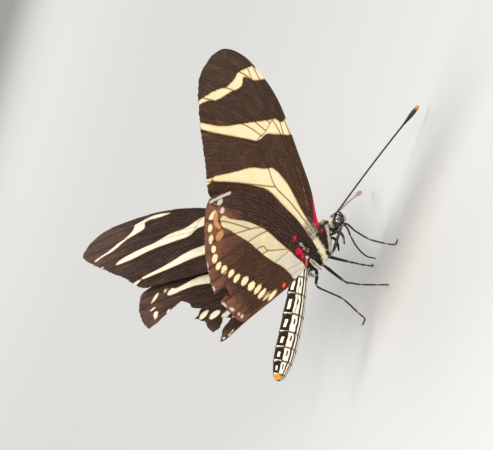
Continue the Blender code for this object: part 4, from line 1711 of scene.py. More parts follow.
@dataclass(frozen=True)
class Trunk:
    """Head, thorax and abdomen as one line of rings from the head's front to the tail's tip.

    Head and thorax are measured along the pitched body, the abdomen along the level.
    """

    head_middle: Pair = (4.75, -0.2)
    head_half: Triple = (1.25, 1.15, 1.15)
    nose_turns: tuple[float, float, int] = (0.06, 1.5, 22)
    thorax_middle: Pair = (-0.8, -0.1)
    thorax_half: Triple = (3.7, 2.2, 2.45)
    thorax_rows: tuple[float, float, int] = (4.78, -3.1, 84)
    collar_reach: float = 1.284
    collar_narrowing: float = 0.35
    collar_flattening: float = 0.5
    collar_power: float = 1.2
    collar_rise: float = 0.37
    collar_rise_start: float = 0.3
    waist_narrowing: float = 0.10
    back_arch: float = 0.06
    merging: float = 0.15
    smoothing: int = 3
    smooth_from: Pair = (0.4, 0.6)
    tail_front: Pair = (-3.6, 1.9)
    tail_length: float = 18.4
    tail_rows: tuple[float, float, int] = (-4.9, -21.94, 260)
    tail_radius: float = 1.6
    tail_narrowing: float = 0.84
    tail_sag: float = 0.38
    tail_waist: Pair = (0.75, 0.45)
    tail_tip: Pair = (0.84, 0.165)
    tail_taper: float = 0.20
    taper_over: Pair = (0.74, 0.95)
    ring_ends: tuple[float, ...] = (-3.6, -6.2, -8.9, -12.1, -14.9, -17.3, -19.4, -21.3, -22.1)
    flare: float = 0.10
    flare_over: float = 0.2
    blend_rows: int = 14
    hair_depth: float = 0.22
    scale_depth: float = 0.06
    pitch: float = math.radians(22)

    def merged(self, first: Rows, second: Rows) -> Rows:
        """The larger of two heights, rounded where they are alike."""
        soft = self.merging
        return soft * np.logaddexp(first / soft, second / soft)

    def thorax_rings(self, forward: Rows) -> tuple[Rows, Rows, Rows]:
        """The thorax's size along the pitched body.

        Args:
            forward: Places along it.

        Returns:
            The thorax's top, bottom and half width at each place.
        """
        behind, half_width, half_height = self.thorax_half
        reach = np.where(forward > self.thorax_middle[0], behind * self.collar_reach, behind)
        along = (forward - self.thorax_middle[0]) / reach
        front = np.clip(along, 0.0, 1.0)
        collar = front**self.collar_power
        waist = self.waist_narrowing * np.clip(-along, 0.0, 1.0) ** 2
        rise = self.collar_rise * front**2 / (self.collar_rise_start + (1.0 - self.collar_rise_start) * front)
        curve = np.sqrt(np.clip(1.0 - along**2, 0.0, None))
        high = curve * (1.0 - self.collar_flattening * collar - waist)
        wide = curve * (1.0 - self.collar_narrowing * collar - waist)
        arched = 1.0 + self.back_arch * np.clip(1.0 - along**2, 0.0, None)
        middle = self.thorax_middle[1] + rise * half_height
        return middle + high * arched * half_height, middle - high * half_height, wide * half_width

    def head_rings(self, forward: Rows) -> tuple[Rows, Rows, Rows]:
        """The head's size along the pitched body.

        Args:
            forward: Places along it.

        Returns:
            The head's top, bottom and half width at each place.
        """
        share = (forward - self.head_middle[0]) / self.head_half[0]
        curve = np.sqrt(np.clip(1.0 - share**2, 0.0, None))
        rise = curve * self.head_half[2]
        return self.head_middle[1] + rise, self.head_middle[1] - rise, curve * self.head_half[1]

    def front_rings(self) -> Rows:
        """Rings of the head and the thorax.

        Returns:
            For each ring its x, z, tilt, half width and half height.
        """
        nose = self.head_middle[0] + self.head_half[0] * np.cos(np.linspace(*self.nose_turns))
        forward = np.concatenate([nose, np.linspace(*self.thorax_rows)])
        in_head = forward > self.head_middle[0] - self.head_half[0]
        in_chest = forward < self.thorax_middle[0] + self.thorax_half[0] * self.collar_reach
        columns = []
        for chest, head, way in zip(self.thorax_rings(forward), self.head_rings(forward), (1.0, -1.0, 1.0)):
            both = way * self.merged(way * chest, way * head)
            columns.append(np.where(in_head & in_chest, both, np.where(in_head, head, chest)))
        table = np.stack(columns, 1)
        kernel = np.hanning(2 * self.smoothing + 3)[1:-1]
        kernel /= kernel.sum()
        rows = np.pad(table, ((self.smoothing, self.smoothing), (0, 0)), mode="edge")
        smoothed = np.stack([np.convolve(column, kernel, "valid") for column in rows.T], 1)
        ahead, over = self.smooth_from
        share = np.clip((self.head_middle[0] + ahead - forward) / over, 0.0, 1.0)[:, None]
        top, low, wide = (table * (1.0 - share) + smoothed * share).T
        middle = (top + low) / 2
        x = forward * math.cos(self.pitch) + middle * math.sin(self.pitch)
        z = middle * math.cos(self.pitch) - forward * math.sin(self.pitch)
        high = np.maximum((top - low) / 2 - self.hair_depth, LEAST_WIDTH)
        wide = np.maximum(wide - self.hair_depth, LEAST_WIDTH)
        return np.stack([x, z, np.full(len(x), self.pitch), wide, high], 1)

    def segments(self, x: Rows) -> tuple[Rows, Rows, Rows]:
        """The abdomen's segments.

        Args:
            x: Places along the level.

        Returns:
            The share of its segment that lies ahead of each place, and the segment's front and rear end.
        """
        ends = np.array(self.ring_ends)
        segment = np.clip(np.searchsorted(-ends, -x, side="right") - 1, 0, len(ends) - 2)
        front, rear = ends[segment], ends[segment + 1]
        return (front - x) / (front - rear), front, rear

    def tail_spine(self, x: Rows) -> tuple[Rows, Rows]:
        """The abdomen's middle line."""
        along = (self.tail_front[0] - x) / self.tail_length
        return along, self.tail_front[1] - self.tail_sag * np.sin(math.pi * np.clip(along, 0.0, 1.0))

    def tail_rings(self) -> Rows:
        """Rings of the abdomen, each segment swelling to its rear edge.

        Returns:
            For each ring its x, z, tilt, half width and half height.
        """
        x = np.linspace(*self.tail_rows)
        along, z = self.tail_spine(x)
        narrow, narrow_until = self.tail_waist
        tip_from, tip_length = self.tail_tip
        tip = np.sqrt(np.maximum(BLUNT_TIP, 1.0 - np.clip((along - tip_from) / tip_length, 0, None) ** 2))
        waist = narrow + (1.0 - narrow) * np.minimum(1.0, along / narrow_until)
        share, _, _ = self.segments(x)
        swell = 1.0 - 0.5 * eased(share, 0.0, self.flare_over) - 0.5 * share
        radius = (self.tail_radius * waist - self.scale_depth - self.flare * swell) * tip
        radius *= 1.0 - self.tail_taper * eased(along, *self.taper_over)
        return np.stack([x, z, np.zeros(len(x)), radius * self.tail_narrowing, radius], 1)

    def rings(self) -> Rows:
        """All rings, evenly blended where the thorax meets the abdomen.

        Returns:
            For each ring its x, z, tilt, half width and half height.
        """
        front, tail = self.front_rings(), self.tail_rings()
        share = np.linspace(0.0, 1.0, self.blend_rows + 2)[1:-1, None]
        shares = np.concatenate([np.repeat(share, 2, 1), np.repeat(eased(share, 0.0, 1.0), 3, 1)], 1)
        return np.concatenate([front, front[-1] + (tail[0] - front[-1]) * shares, tail])

    def place(self, shares: Rows, turns: Rows) -> Rows:
        """Places on the skin.

        Args:
            shares: How far along the rings, from 0 at the head to 1 at the tip.
            turns: The angle round the body from the back's middle, in radians.

        Returns:
            Places from the middle of the thorax, in level millimetres.
        """
        rings = self.rings()
        at = np.asarray(shares) * (len(rings) - 1)
        x, z, tilt, wide, high = read_table(at, np.arange(len(rings)), rings).T
        up = high * np.cos(turns)
        return np.stack([x + up * np.sin(tilt), wide * np.sin(turns), z + up * np.cos(tilt)], 1)


@dataclass(frozen=True)
class BodyMarks:
    """The pale, red and orange marks of the body, from the middle of the thorax in level millimetres.

    The abdomen's marks are given by their turns round it, in degrees from the back's middle.
    """

    trunk: Trunk
    cream_lines: tuple[Mark, ...] = (
        Stroke([(4.6, -0.72), (4.2, -1.0), (3.8, -1.22), (3.5, -1.45), (3.15, -1.92)], 0.22),
        Stroke([(0.15, 1.2), (-0.6, 0.45), (-1.5, -0.65), (-2.2, -1.75)], 0.52),
        Spot((3.35, 0.05), (0.42, 0.36), 10.0),
    )
    white_lines: tuple[Mark, ...] = (
        Stroke([(2.75, -0.6), (1.6, -0.95), (0.3, -1.35), (-1.05, -1.75)], 0.27),
        *spots(
            (-2.5, 2.15, 0.2, 0.15, 0), (-2.6, 1.6, 0.22, 0.2, 0), (-3.75, 1.7, 0.28, 0.2, 0),
            (2.1, -1.9, 0.45, 0.4, 30), (2.95, -2.15, 0.5, 0.4, 0), (-2.3, -2.1, 0.35, 0.3, 0),
        ),
    )
    red_marks: tuple[Mark, ...] = (Spot((1.67, 0.06), (0.42, 0.18), -20.0),)
    head_dots: tuple[Triple, ...] = (
        (4.6, 0.35, -1.0), (4.2, 0.75, -1.05), (3.75, 0.4, -0.95), (3.9, 1.05, -1.35), (3.5, 1.0, -1.8),
        (3.3, 0.8, -2.4), (5.0, 0.25, -1.5), (5.15, 0.5, -2.1), (3.2, 0.5, -1.0),
    )
    head_dot_half: float = 0.16
    chest_ends: float = -4.2
    back_line: float = 0.06
    ring_half: float = 0.12
    ring_turns: Pair = (14.0, 70.0)
    ring_place: Pair = (0.06, 0.10)
    spot_turn: float = 45.0
    spot_half: float = 9.5
    spot_narrowing: Pair = (0.75, 0.5)
    slow_wander: Triple = (1.4, 2.1, 0.4)
    quick_wander: Pair = (0.9, 5.3)
    spot_middle: float = 0.56
    spot_length: Pair = (0.30, 0.15)
    white_turns: Pair = (74.0, 106.0)
    white_inset: float = 0.12
    line_turns: Pair = (118.0, 129.0)
    fold_turns: Pair = (141.0, 152.0)
    line_inset: float = 0.10
    brown_turn: float = 91.0
    brown_half: float = 4.5
    brown_middle: float = 0.40
    brown_length: float = 0.42
    crease_turn: float = 88.0
    crease_half: float = 2.6
    crease_ends: float = -12.1
    tip_from: float = -21.3
    tip_until: float = 104.0

    def tail(self, points: Rows) -> dict[str, Rows]:
        """The rings, spots and side bands of the abdomen.

        Args:
            points: Places on the body.

        Returns:
            Depths in millimetres by the mark's colour.
        """
        trunk = self.trunk
        x = points[:, 0]
        along, middle = trunk.tail_spine(x)
        share, front, rear = trunk.segments(x)
        length = front - rear
        around = trunk.tail_radius * math.pi / 180.0
        turn = np.degrees(np.arctan2(np.abs(points[:, 1]) / trunk.tail_narrowing, points[:, 2] - middle))
        slow, slow_turn, start = self.slow_wander
        quick, quick_turn = self.quick_wander
        turn = turn + slow * np.sin(slow_turn * x + start) + quick * np.sin(quick_turn * x)

        def between(turns: Pair) -> Rows:
            """How deep each place lies between two turns."""
            return np.minimum(turn - turns[0], turns[1] - turn) * around

        def near(middle_turn: float, half: Rows | float) -> Rows:
            """How deep each place lies within half a width of a turn."""
            return (half - np.abs(turn - middle_turn)) * around

        behind, bend = self.ring_place
        ring = self.ring_half - np.abs(x - rear - behind - bend * np.cos(np.radians(turn * 3)))
        ring = np.minimum(ring, between(self.ring_turns))
        first, shortening = self.spot_length
        reach = (first - shortening * along - np.abs(share - self.spot_middle)) * length
        narrowing = self.spot_narrowing[0] + self.spot_narrowing[1] * along
        spot = np.minimum(reach, near(self.spot_turn, self.spot_half / narrowing))
        inside = np.minimum(share, 1.0 - share) * length - self.white_inset
        band = np.minimum(between(self.white_turns), inside)
        lines = np.maximum(between(self.line_turns), between(self.fold_turns))
        lines = np.minimum(lines, (1.0 - share) * length - self.line_inset)
        brown = self.brown_length - np.abs(share - self.brown_middle) * length
        brown = np.minimum(brown, near(self.brown_turn, self.brown_half))
        crease = np.where(x > self.crease_ends, near(self.crease_turn, self.crease_half), NEVER)
        found = {
            "cream": np.maximum(ring, spot),
            "white": np.maximum(band, lines),
            "dark": np.minimum(np.maximum(brown, crease), band),
            "orange": np.minimum(self.tip_from - x, (self.tip_until - turn) * around),
        }
        return {name: np.where(x > self.chest_ends, NEVER, values) for name, values in found.items()}

    def numbers(self, points: Rows) -> dict[str, Rows]:
        """The depth of each kind of mark at each place of the body.

        Args:
            points: Places on the body.

        Returns:
            Depths in millimetres by the mark's colour.
        """
        found = self.tail(points)
        side = points[:, [0, 2]]
        folded = points.copy()
        folded[:, 1] = np.abs(points[:, 1])
        chest = (points[:, 0] > self.chest_ends) & (folded[:, 1] > self.back_line)
        gaps = [np.linalg.norm(folded - np.array(dot), axis=1) for dot in self.head_dots]
        dots = self.head_dot_half - np.min(gaps, axis=0)
        cream, white, red = (
            np.where(chest, deepest(marks, side), NEVER)
            for marks in (self.cream_lines, self.white_lines, self.red_marks)
        )
        found["cream"] = np.maximum(found["cream"], cream)
        found["white"] = np.maximum(np.maximum(found["white"], white), np.maximum(dots, NEVER))
        found["red"] = red
        return found


@dataclass(frozen=True)
class Coat:
    """How one stretch of hair or scales grows, in millimetres.

    The stretch is in shares of the rings. Lift is how far the tufts stand up, as a share of their
    length, and stray is how much their directions differ.
    """

    name: str
    slot: str
    stretch: Pair
    count: int
    length: Pair
    width: Pair
    lift: float
    stray: float


HEAD_COAT = Coat("head_coat", "body_hair", (0.012, 0.083), 1500, (0.20, 0.38), (0.06, 0.10), 0.32, 0.22)
THORAX_COAT = Coat("thorax_coat", "body_hair", (0.075, 0.315), 11500, (0.40, 0.80), (0.05, 0.10), 0.30, 0.16)
COLLAR_TUFTS = Coat("collar_tufts", "body_hair", (0.085, 0.125), 5200, (0.45, 0.70), (0.06, 0.09), 1.3, 0.25)
ABDOMEN_COAT = Coat(
    "abdomen_coat", "abdomen_scales", (0.31, 0.985), 13900, (0.20, 0.30), (0.09, 0.13), 0.12, 0.07
)


@dataclass(frozen=True)
class Body:
    """The continuous skin of head, thorax and abdomen, and the hair and scales on it."""

    trunk: Trunk
    marks: BodyMarks
    stance: Stance
    sides: int = 64
    same_place: float = 0.004
    strand: float = 0.2
    step: float = 1e-3
    draws: int = 6
    full_area: float = 99.0
    sunk: float = 0.03

    def make_skin(self, material: Material) -> None:
        """Make the skin, which stands for the three solids of flesh.

        Args:
            material: Its finish.
        """
        builder, shares = sheet_grid(len(self.trunk.rings()) - 1, self.sides)
        bend_to(builder, self.trunk.place(shares[:, 0], 2 * math.pi * shares[:, 1]))
        map_onto(builder, shares)
        bmesh.ops.remove_doubles(builder, verts=builder.verts, dist=self.same_place)
        holes = [edge for edge in builder.edges if edge.is_boundary]
        bmesh.ops.holes_fill(builder, edges=holes, sides=0)
        mesh = mesh_of(builder, "skin")
        points = points_of(mesh)
        keep_numbers(mesh, {**self.marks.numbers(points), "strand": np.full(len(points), self.strand)})
        nodes = ["thorax", "head", "abdomen"]
        finish_piece("body_skin", mesh, self.stance.level(), material, nodes)

    def roots(self, low: float, high: float, count: int) -> tuple[Rows, ...]:
        """Spread places evenly over a stretch of the skin.

        Args:
            low: The share of the rings where the stretch starts.
            high: The share where it ends.
            count: How many places.

        Returns:
            Their shares, turns, places, normals and rearward directions.
        """
        trunk, step = self.trunk, self.step
        shares = RANDOM.uniform(low, high, count * self.draws)
        turns = RANDOM.uniform(0.0, 2 * math.pi, count * self.draws)
        rearward = trunk.place(shares + step, turns) - trunk.place(shares - step, turns)
        around = trunk.place(shares, turns + step) - trunk.place(shares, turns - step)
        normals = np.cross(around, rearward)
        area = np.linalg.norm(normals, axis=1)
        wanted = RANDOM.random(len(area)) * np.percentile(area, self.full_area) < area
        kept = np.flatnonzero(wanted)[:count]
        shares, turns = shares[kept], turns[kept]
        places = trunk.place(shares, turns)
        away = places - trunk.place(shares, turns + math.pi)
        normals = normals[kept] / area[kept, None]
        normals *= np.sign((normals * away).sum(1))[:, None]
        return shares, turns, places, normals, unit_rows(rearward[kept])

    def make_coat(
        self,
        coat: Coat,
        material: Material,
        bare: Callable[[Rows], Rows] | None = None,
    ) -> None:
        """Plant one stretch of hair or scales.

        Args:
            coat: How it grows.
            material: Its finish.
            bare: Tells which places stay bare, if any.
        """
        found = self.roots(*coat.stretch, coat.count)
        if bare is not None:
            kept = ~bare(found[2])
            found = tuple(part[kept] for part in found)
        shares, turns, places, normals, ways = found
        count = len(places)
        tufts = Tufts(
            roots=places - normals * self.sunk,
            normals=normals,
            ways=ways + RANDOM.normal(0.0, coat.stray, (count, 3)),
            lengths=RANDOM.uniform(*coat.length, count),
            widths=RANDOM.uniform(*coat.width, count),
            spread=np.stack([shares, turns / (2 * math.pi)], 1),
            marks=self.marks.numbers(places),
            lift=coat.lift,
        )
        finish_piece(coat.name, tufts.mesh(coat.name), self.stance.level(), material)


@dataclass(frozen=True)
class SideFlap:
    """A flap of long pale scales with a dark middle at the root of one hindwing, in level millimetres."""

    side: Side
    line: Points = ((-3.85, 2.25, 1.35), (-4.05, 1.85, 0.6), (-4.3, 1.6, -0.25), (-4.55, 1.45, -1.0))
    normal: Triple = (0.0, 0.88, -0.475)
    half: float = 0.42
    swelling: Pair = (0.16, 0.84)
    dark_middle: float = 0.1
    dark_half: float = 0.22
    count: int = 260
    stretch: Pair = (0.0, 0.78)
    length: Pair = (0.40, 0.62)
    width: Pair = (0.07, 0.10)
    stray: float = 0.08
    lift: float = 0.15
    lift_off: float = 0.16
    map_middle: float = 0.5
    map_half: float = 0.1

    def make(self, stance: Stance, material: Material) -> None:
        """Plant the flap.

        Args:
            stance: Where the body stands.
            material: The flap's finish.
        """
        mirror = np.array([1.0, self.side.value, 1.0])
        line = smooth(np.array(self.line) * mirror)
        normal = np.array(self.normal) * mirror
        run = along_path(line)
        share = RANDOM.uniform(*self.stretch, self.count)
        aside = RANDOM.uniform(-1.0, 1.0, self.count)
        ways = unit_rows(read_table(share, run, np.gradient(line, axis=0)))
        first, more = self.swelling
        reach = self.half * np.sin(math.pi * (first + more * share)) * aside
        pale = np.abs(aside - self.dark_middle) > self.dark_half
        roots = read_table(share, run, line) + np.cross(ways, normal) * reach[:, None]
        tufts = Tufts(
            roots=roots + normal * self.lift_off,
            normals=np.tile(normal, (self.count, 1)),
            ways=ways + RANDOM.normal(0.0, self.stray, (self.count, 3)),
            lengths=RANDOM.uniform(*self.length, self.count),
            widths=RANDOM.uniform(*self.width, self.count),
            spread=np.stack([share, self.map_middle + self.map_half * aside], 1),
            marks=marked(self.count, ("red", "orange", "cream", "dark"), white=pale),
            lift=self.lift,
        )
        finish_piece(f"side_flap_{self.side.word}", tufts.mesh("flap"), stance.level(), material)


@dataclass(frozen=True)
class Eyes:
    """The two eyes, in the pitched body's millimetres."""

    middle: Triple = (4.5, 1.12, -0.35)
    half: Triple = (1.19, 0.57, 0.89)
    tilt: float = math.radians(32)
    grown: float = 1.02
    facets: tuple[int, int] = (48, 32)
    # Where the painted glints fade in over the eye's upper front.
    painted_glints: Pair = (-0.9, 0.0)

    def shape(self, side: Side) -> Matrix:
        """From a ball of radius 1 to the eye."""
        place = Matrix.Translation((self.middle[0], self.middle[1] * side.value, self.middle[2]))
        return place @ Matrix.Rotation(-self.tilt, 4, "Y") @ Matrix.Diagonal((*self.half, 1.0))

    def covers(self, points: Rows, frame: Matrix) -> Rows:
        """Which places lie in or close to an eye.

        Args:
            points: The places.
            frame: From their frame to the pitched body's.

        Returns:
            True for each covered place.
        """
        found = np.zeros(len(points), bool)
        for side in Side:
            local = moved(points, self.shape(side).inverted() @ frame)
            found |= (local**2).sum(1) < self.grown**2
        return found

    def make(self, side: Side, stance: Stance, material: Material) -> None:
        """Make one eye.

        Args:
            side: The side that it is on.
            stance: Where the body stands.
            material: Its finish.
        """
        around, upward = self.facets
        builder = bmesh.new()
        bmesh.ops.create_uvsphere(builder, u_segments=around, v_segments=upward, radius=1.0)
        bmesh.ops.rotate(builder, verts=builder.verts, matrix=Matrix.Rotation(math.pi / 2, 3, "X"))
        mesh = mesh_of(builder, "eye")
        ball = points_of(mesh)
        put_points(mesh, moved(ball, self.shape(side)))
        # The pale dots are painted highlights, kept to the eye's upper front.
        keep_numbers(mesh, {"painted_glints": eased(ball[:, 0] + ball[:, 2], *self.painted_glints)})
        finish_piece(f"eye_{side.word}_facets", mesh, stance.pitched(), material, [f"eye_{side.word}"])


@dataclass(frozen=True)
class Antenna:
    """One ringed feeler with a club at its end, in the pitched body's millimetres."""

    side: Side
    way: Triple
    pale_whole: bool
    foot: Triple = (5.0, 0.38, 0.35)
    length: float = 19.6
    bow: float = 0.15
    shaft: float = 0.13
    club: float = 0.34
    club_middle: float = 0.94
    club_spread: float = 0.075
    foot_swelling: float = 0.5
    foot_fading: float = 30.0
    rings: int = 44
    ring_points: int = 6
    groove: float = 0.16
    groove_from: float = 0.7
    sides: int = 14
    pale_tip: Pair = (0.955, 0.985)
    whole_paleness: float = 0.75

    def make(self, stance: Stance, material: Material) -> None:
        """Make the feeler, in place of its solid.

        Args:
            stance: Where the body stands.
            material: The feeler's finish.
        """
        share = np.linspace(0.0, 1.0, self.rings * self.ring_points + 1)
        way = np.array(self.way) / np.linalg.norm(self.way)
        foot = np.array([self.foot[0], self.foot[1] * self.side.value, self.foot[2]])
        path = foot + share[:, None] * self.length * way
        path[:, 2] += self.bow * np.sin(math.pi * share)
        club = np.exp(-(((share - self.club_middle) / self.club_spread) ** 2))
        ringed = 1.0 - self.groove * (np.cos(2 * math.pi * share * self.rings) > self.groove_from)
        shaft = self.shaft * (1.0 + self.foot_swelling * np.exp(-share * self.foot_fading))
        radii = (shaft + (self.club - self.shaft) * club) * ringed
        mesh = tube_mesh("feeler", path, radii, self.sides)
        pale = eased(shares_along(mesh), *self.pale_tip)
        if self.pale_whole:
            pale = np.maximum(pale, self.whole_paleness)
        keep_numbers(mesh, {"pale": pale})
        name = f"antenna_{self.side.word}"
        finish_piece(f"{name}_ringed", mesh, stance.pitched(), material, [name])


@dataclass(frozen=True)
class Fur:
    """How hair or bristles grow round a limb, in millimetres.

    Lift is how far they stand up, as a share of their length, and cream is the share of them that is
    pale. The stretch is in shares of the limb.
    """

    count: int
    length: Pair
    width: float
    lift: float
    cream: float
    stretch: Pair = (0.05, 0.98)


@dataclass(frozen=True)
class Claws:
    """The pair of small curved claws at a foot's end, in millimetres."""

    length: float = 0.22
    gap: float = 0.04
    spread: float = 0.09
    fall: float = 0.05
    radius: float = 0.045
    taper: float = 0.8
    points: int = 8
    sides: int = 6
    paleness: float = 0.3

    def mesh(self, path: Rows) -> Mesh:
        """Make both claws.

        Args:
            path: The limb's middle line.

        Returns:
            One mesh.
        """
        way = path[-1] - path[-4]
        way[2] = 0.0
        way /= np.linalg.norm(way)
        across = np.array([-way[1], way[0], 0.0])
        fall = np.array([0.0, 0.0, self.fall])
        share = np.linspace(0.0, 1.0, self.points)[:, None]
        meshes = []
        for sign in (-1.0, 1.0):
            aside = sign * across * (self.gap + self.spread * share)
            arc = path[-1] + share * self.length * way + aside - fall * share**2
            radii = self.radius * (1.0 - self.taper * share[:, 0])
            meshes.append(tube_mesh("claw", arc, radii, self.sides))
        mesh = joined("claws", meshes)
        keep_numbers(mesh, {"pale": np.full(len(mesh.vertices), self.paleness)})
        return mesh


@dataclass(frozen=True)
class Limb:
    """A jointed limb: a row of knots, with the radius there, in level millimetres.

    The waist and the swelling behind it at each joint, and the grooves of the feet, are shares of the
    radius. Their widths are in points of the middle line.
    """

    name: str
    knots: Points
    radii: tuple[float, ...]
    joints: tuple[int, ...]
    slot: str
    feet: int = 0
    pale_side: Side | None = None
    dark_from: float = -0.15
    knot_points: int = 10
    waist: Pair = (0.22, 1.3)
    swelling: Triple = (0.10, 3.0, 1.6)
    groove: float = 0.16
    groove_from: float = 0.6
    grooves: int = 5
    sides: int = 12
    joint_paleness: float = 0.2
    joint_spread: float = 0.012
    strand: float = 0.3
    root_depth: float = 0.8

    def shaded(self, aside: Rows) -> Rows:
        """Which places are dark, from how far their normals point to the left.

        Args:
            aside: The leftward share of each normal.

        Returns:
            True for each dark place.
        """
        if self.pale_side is None:
            return np.zeros(len(aside), bool)
        return aside * self.pale_side.value <= self.dark_from

    def path(self) -> tuple[Rows, Rows]:
        """The limb's middle line.

        Returns:
            Its points, and its radius at each, with a slight waist at each joint.
        """
        run = smooth([(*knot, radius) for knot, radius in zip(self.knots, self.radii)], self.knot_points)
        radii = run[:, 3].copy()
        points = np.arange(len(run))
        depth, width = self.waist
        growth, behind, breadth = self.swelling
        for joint in self.joints:
            gap = np.abs(points - joint * self.knot_points)
            waist = depth * np.exp(-((gap / width) ** 2))
            radii *= 1.0 - waist + growth * np.exp(-(((gap - behind) / breadth) ** 2))
        if self.feet:
            first = (len(self.knots) - 1 - self.feet) * self.knot_points
            share = np.clip((points - first) / (self.feet * self.knot_points), 0.0, 1.0)
            grooved = (np.cos(2 * math.pi * share * self.grooves) > self.groove_from) * (share > 0)
            radii *= 1.0 - self.groove * grooved
        return run[:, :3], radii

    def make(self, stance: Stance, material: Material) -> None:
        """Make the limb itself, in place of its solid.

        Args:
            stance: Where the body stands.
            material: The limb's finish.
        """
        path, radii = self.path()
        mesh = tube_mesh(self.name, path, radii, self.sides)
        along = shares_along(mesh)
        run = along_path(path)
        pale = np.zeros(len(along))
        for joint in self.joints:
            gap = (along - run[joint * self.knot_points]) / self.joint_spread
            pale = np.maximum(pale, self.joint_paleness * np.exp(-(gap**2)))
        aside = (points_of(mesh)[:, 1] - np.interp(along, run, path[:, 1])) / max(self.radii)
        marks = marked(len(along), ("cream", "white", "red", "orange"), dark=self.shaded(aside))
        keep_numbers(mesh, {"pale": pale, "strand": np.full(len(along), self.strand), **marks})
        finish_piece(f"{self.name}_jointed", mesh, stance.level(), material, [self.name])

    def make_tufts(self, stance: Stance, material: Material, fur: Fur) -> None:
        """Plant short hair or bristles round the limb.

        Args:
            stance: Where the body stands.
            material: Their finish.
            fur: How they grow.
        """
        path, radii = self.path()
        run = along_path(path)
        share = RANDOM.uniform(*fur.stretch, fur.count)
        turn = RANDOM.uniform(0.0, 2 * math.pi, fur.count)
        across, upward = (read_table(share, run, table) for table in carried_frames(path))
        normals = unit_rows(across * np.cos(turn)[:, None] + upward * np.sin(turn)[:, None])
        pale = RANDOM.random(fur.count) < fur.cream
        depths = np.interp(share, run, radii) * self.root_depth
        tufts = Tufts(
            roots=read_table(share, run, path) + normals * depths[:, None],
            normals=normals,
            ways=read_table(share, run, np.gradient(path, axis=0)),
            lengths=RANDOM.uniform(*fur.length, fur.count),
            widths=np.full(fur.count, fur.width),
            spread=np.stack([share, turn / (2 * math.pi)], 1),
            marks=marked(fur.count, ("red", "orange", "white"), cream=pale, dark=self.shaded(normals[:, 1])),
            lift=fur.lift,
        )
        finish_piece(f"{self.name}_hair", tufts.mesh("hair"), stance.level(), material)

    def make_claws(self, stance: Stance, material: Material) -> None:
        """Make the pair of claws at the limb's end."""
        path, _ = self.path()
        finish_piece(f"{self.name}_claws", Claws().mesh(path), stance.level(), material)


FOOT = -9.795
WALKING_RADII = (0.27, 0.25, 0.17, 0.13, 0.125, 0.12, 0.11, 0.10)
WALKING_LEGS = {
    "midleg_right": [
        (-1.6, -1.2, -1.1), (-1.5, -2.1, -1.9), (2.3, -3.6, -2.3), (1.5, -4.2, -4.2), (0.7, -4.7, -6.2),
        (0.6, -5.1, -8.6), (0.7, -5.5, FOOT), (1.1, -6.35, FOOT),
    ],
    "hindleg_right": [
        (-3.4, -1.0, -0.6), (-4.0, -1.9, -1.2), (-6.1, -3.5, -4.0), (-6.2, -3.8, -5.1), (-6.1, -4.0, -6.4),
        (-5.6, -4.3, -8.6), (-5.4, -4.8, FOOT), (-5.8, -5.65, FOOT),
    ],
    "midleg_left": [
        (-1.2, 1.2, -1.1), (-0.8, 1.7, -2.2), (-0.1, 2.9, -5.7), (0.3, 3.6, -6.7), (0.6, 4.2, -7.6),
        (1.0, 4.8, -8.7), (1.4, 5.3, FOOT), (2.0, 6.05, FOOT),
    ],
    "hindleg_left": [
        (-3.4, 1.0, -0.6), (-4.0, 2.0, -1.2), (-5.1, 3.0, -1.7), (-5.4, 3.3, -3.6), (-5.7, 3.6, -6.0),
        (-6.9, 4.0, -8.6), (-7.4, 4.3, FOOT), (-8.15, 4.85, FOOT),
    ],
}
WALKING_JOINTS = (1, 2, 4, 5)
FORELEG = [(1.0, 1.0, -1.0), (2.0, 1.2, -2.15), (1.7, 1.35, -3.0), (0.5, 1.35, -3.5)]
FORELEG_RADII = (0.2, 0.21, 0.18, 0.13)
TONGUE = [
    (4.1, 0.0, -2.6), (3.7, 0.0, -3.7), (2.5, 0.1, -4.6), (1.2, 0.3, -5.9), (0.5, 0.6, -7.4),
    (0.6, 0.8, -8.9),
]
TONGUE_RADII = (0.16, 0.15, 0.13, 0.12, 0.11, 0.09)
PALP = [(4.75, 0.4, -0.9), (5.25, 0.42, -1.22), (5.68, 0.42, -0.95), (5.84, 0.4, -0.45)]
PALP_RADII = (0.18, 0.21, 0.19, 0.10)
PALP_FUR = Fur(260, (0.12, 0.20), 0.06, 0.3, 0.4)
FORELEG_FUR = Fur(420, (0.16, 0.28), 0.07, 0.35, 0.22)
WALKING_FUR = Fur(260, (0.12, 0.22), 0.035, 0.6, 0.08, (0.12, 0.78))
RIGHT_FEELER_WAY = (0.860, -0.510, -0.020)
LEFT_FEELER_WAY = (0.691, 0.718, -0.085)
COLLAR_SPOT_AT = 3.3
COLLAR_SPOT_HALF = 0.36


def turned_level(points: Points, pitch: float, side: Side) -> list[Triple]:
    """Turn points of the pitched body to the level frame."""
    cosine, sine = math.cos(pitch), math.sin(pitch)
    return [(x * cosine + z * sine, y * side.value, z * cosine - x * sine) for x, y, z in points]


@dataclass(frozen=True)
class Lamp:
    """A square soft light that looks at the butterfly, in metres and watts."""

    name: str
    place: Triple
    size: float
    power: float
    target: Triple = (0.0, 0.0, 0.02)

    def make(self) -> None:
        """Hang the light and turn it to the butterfly."""
        data = bpy.data.lights.new(self.name, "AREA")
        data.size = self.size
        data.energy = self.power
        light = bpy.data.objects.new(self.name, data)
        light.location = self.place
        light.rotation_euler = (Vector(self.target) - light.location).to_track_quat("-Z", "Y").to_euler()
        bpy.context.scene.collection.objects.link(light)


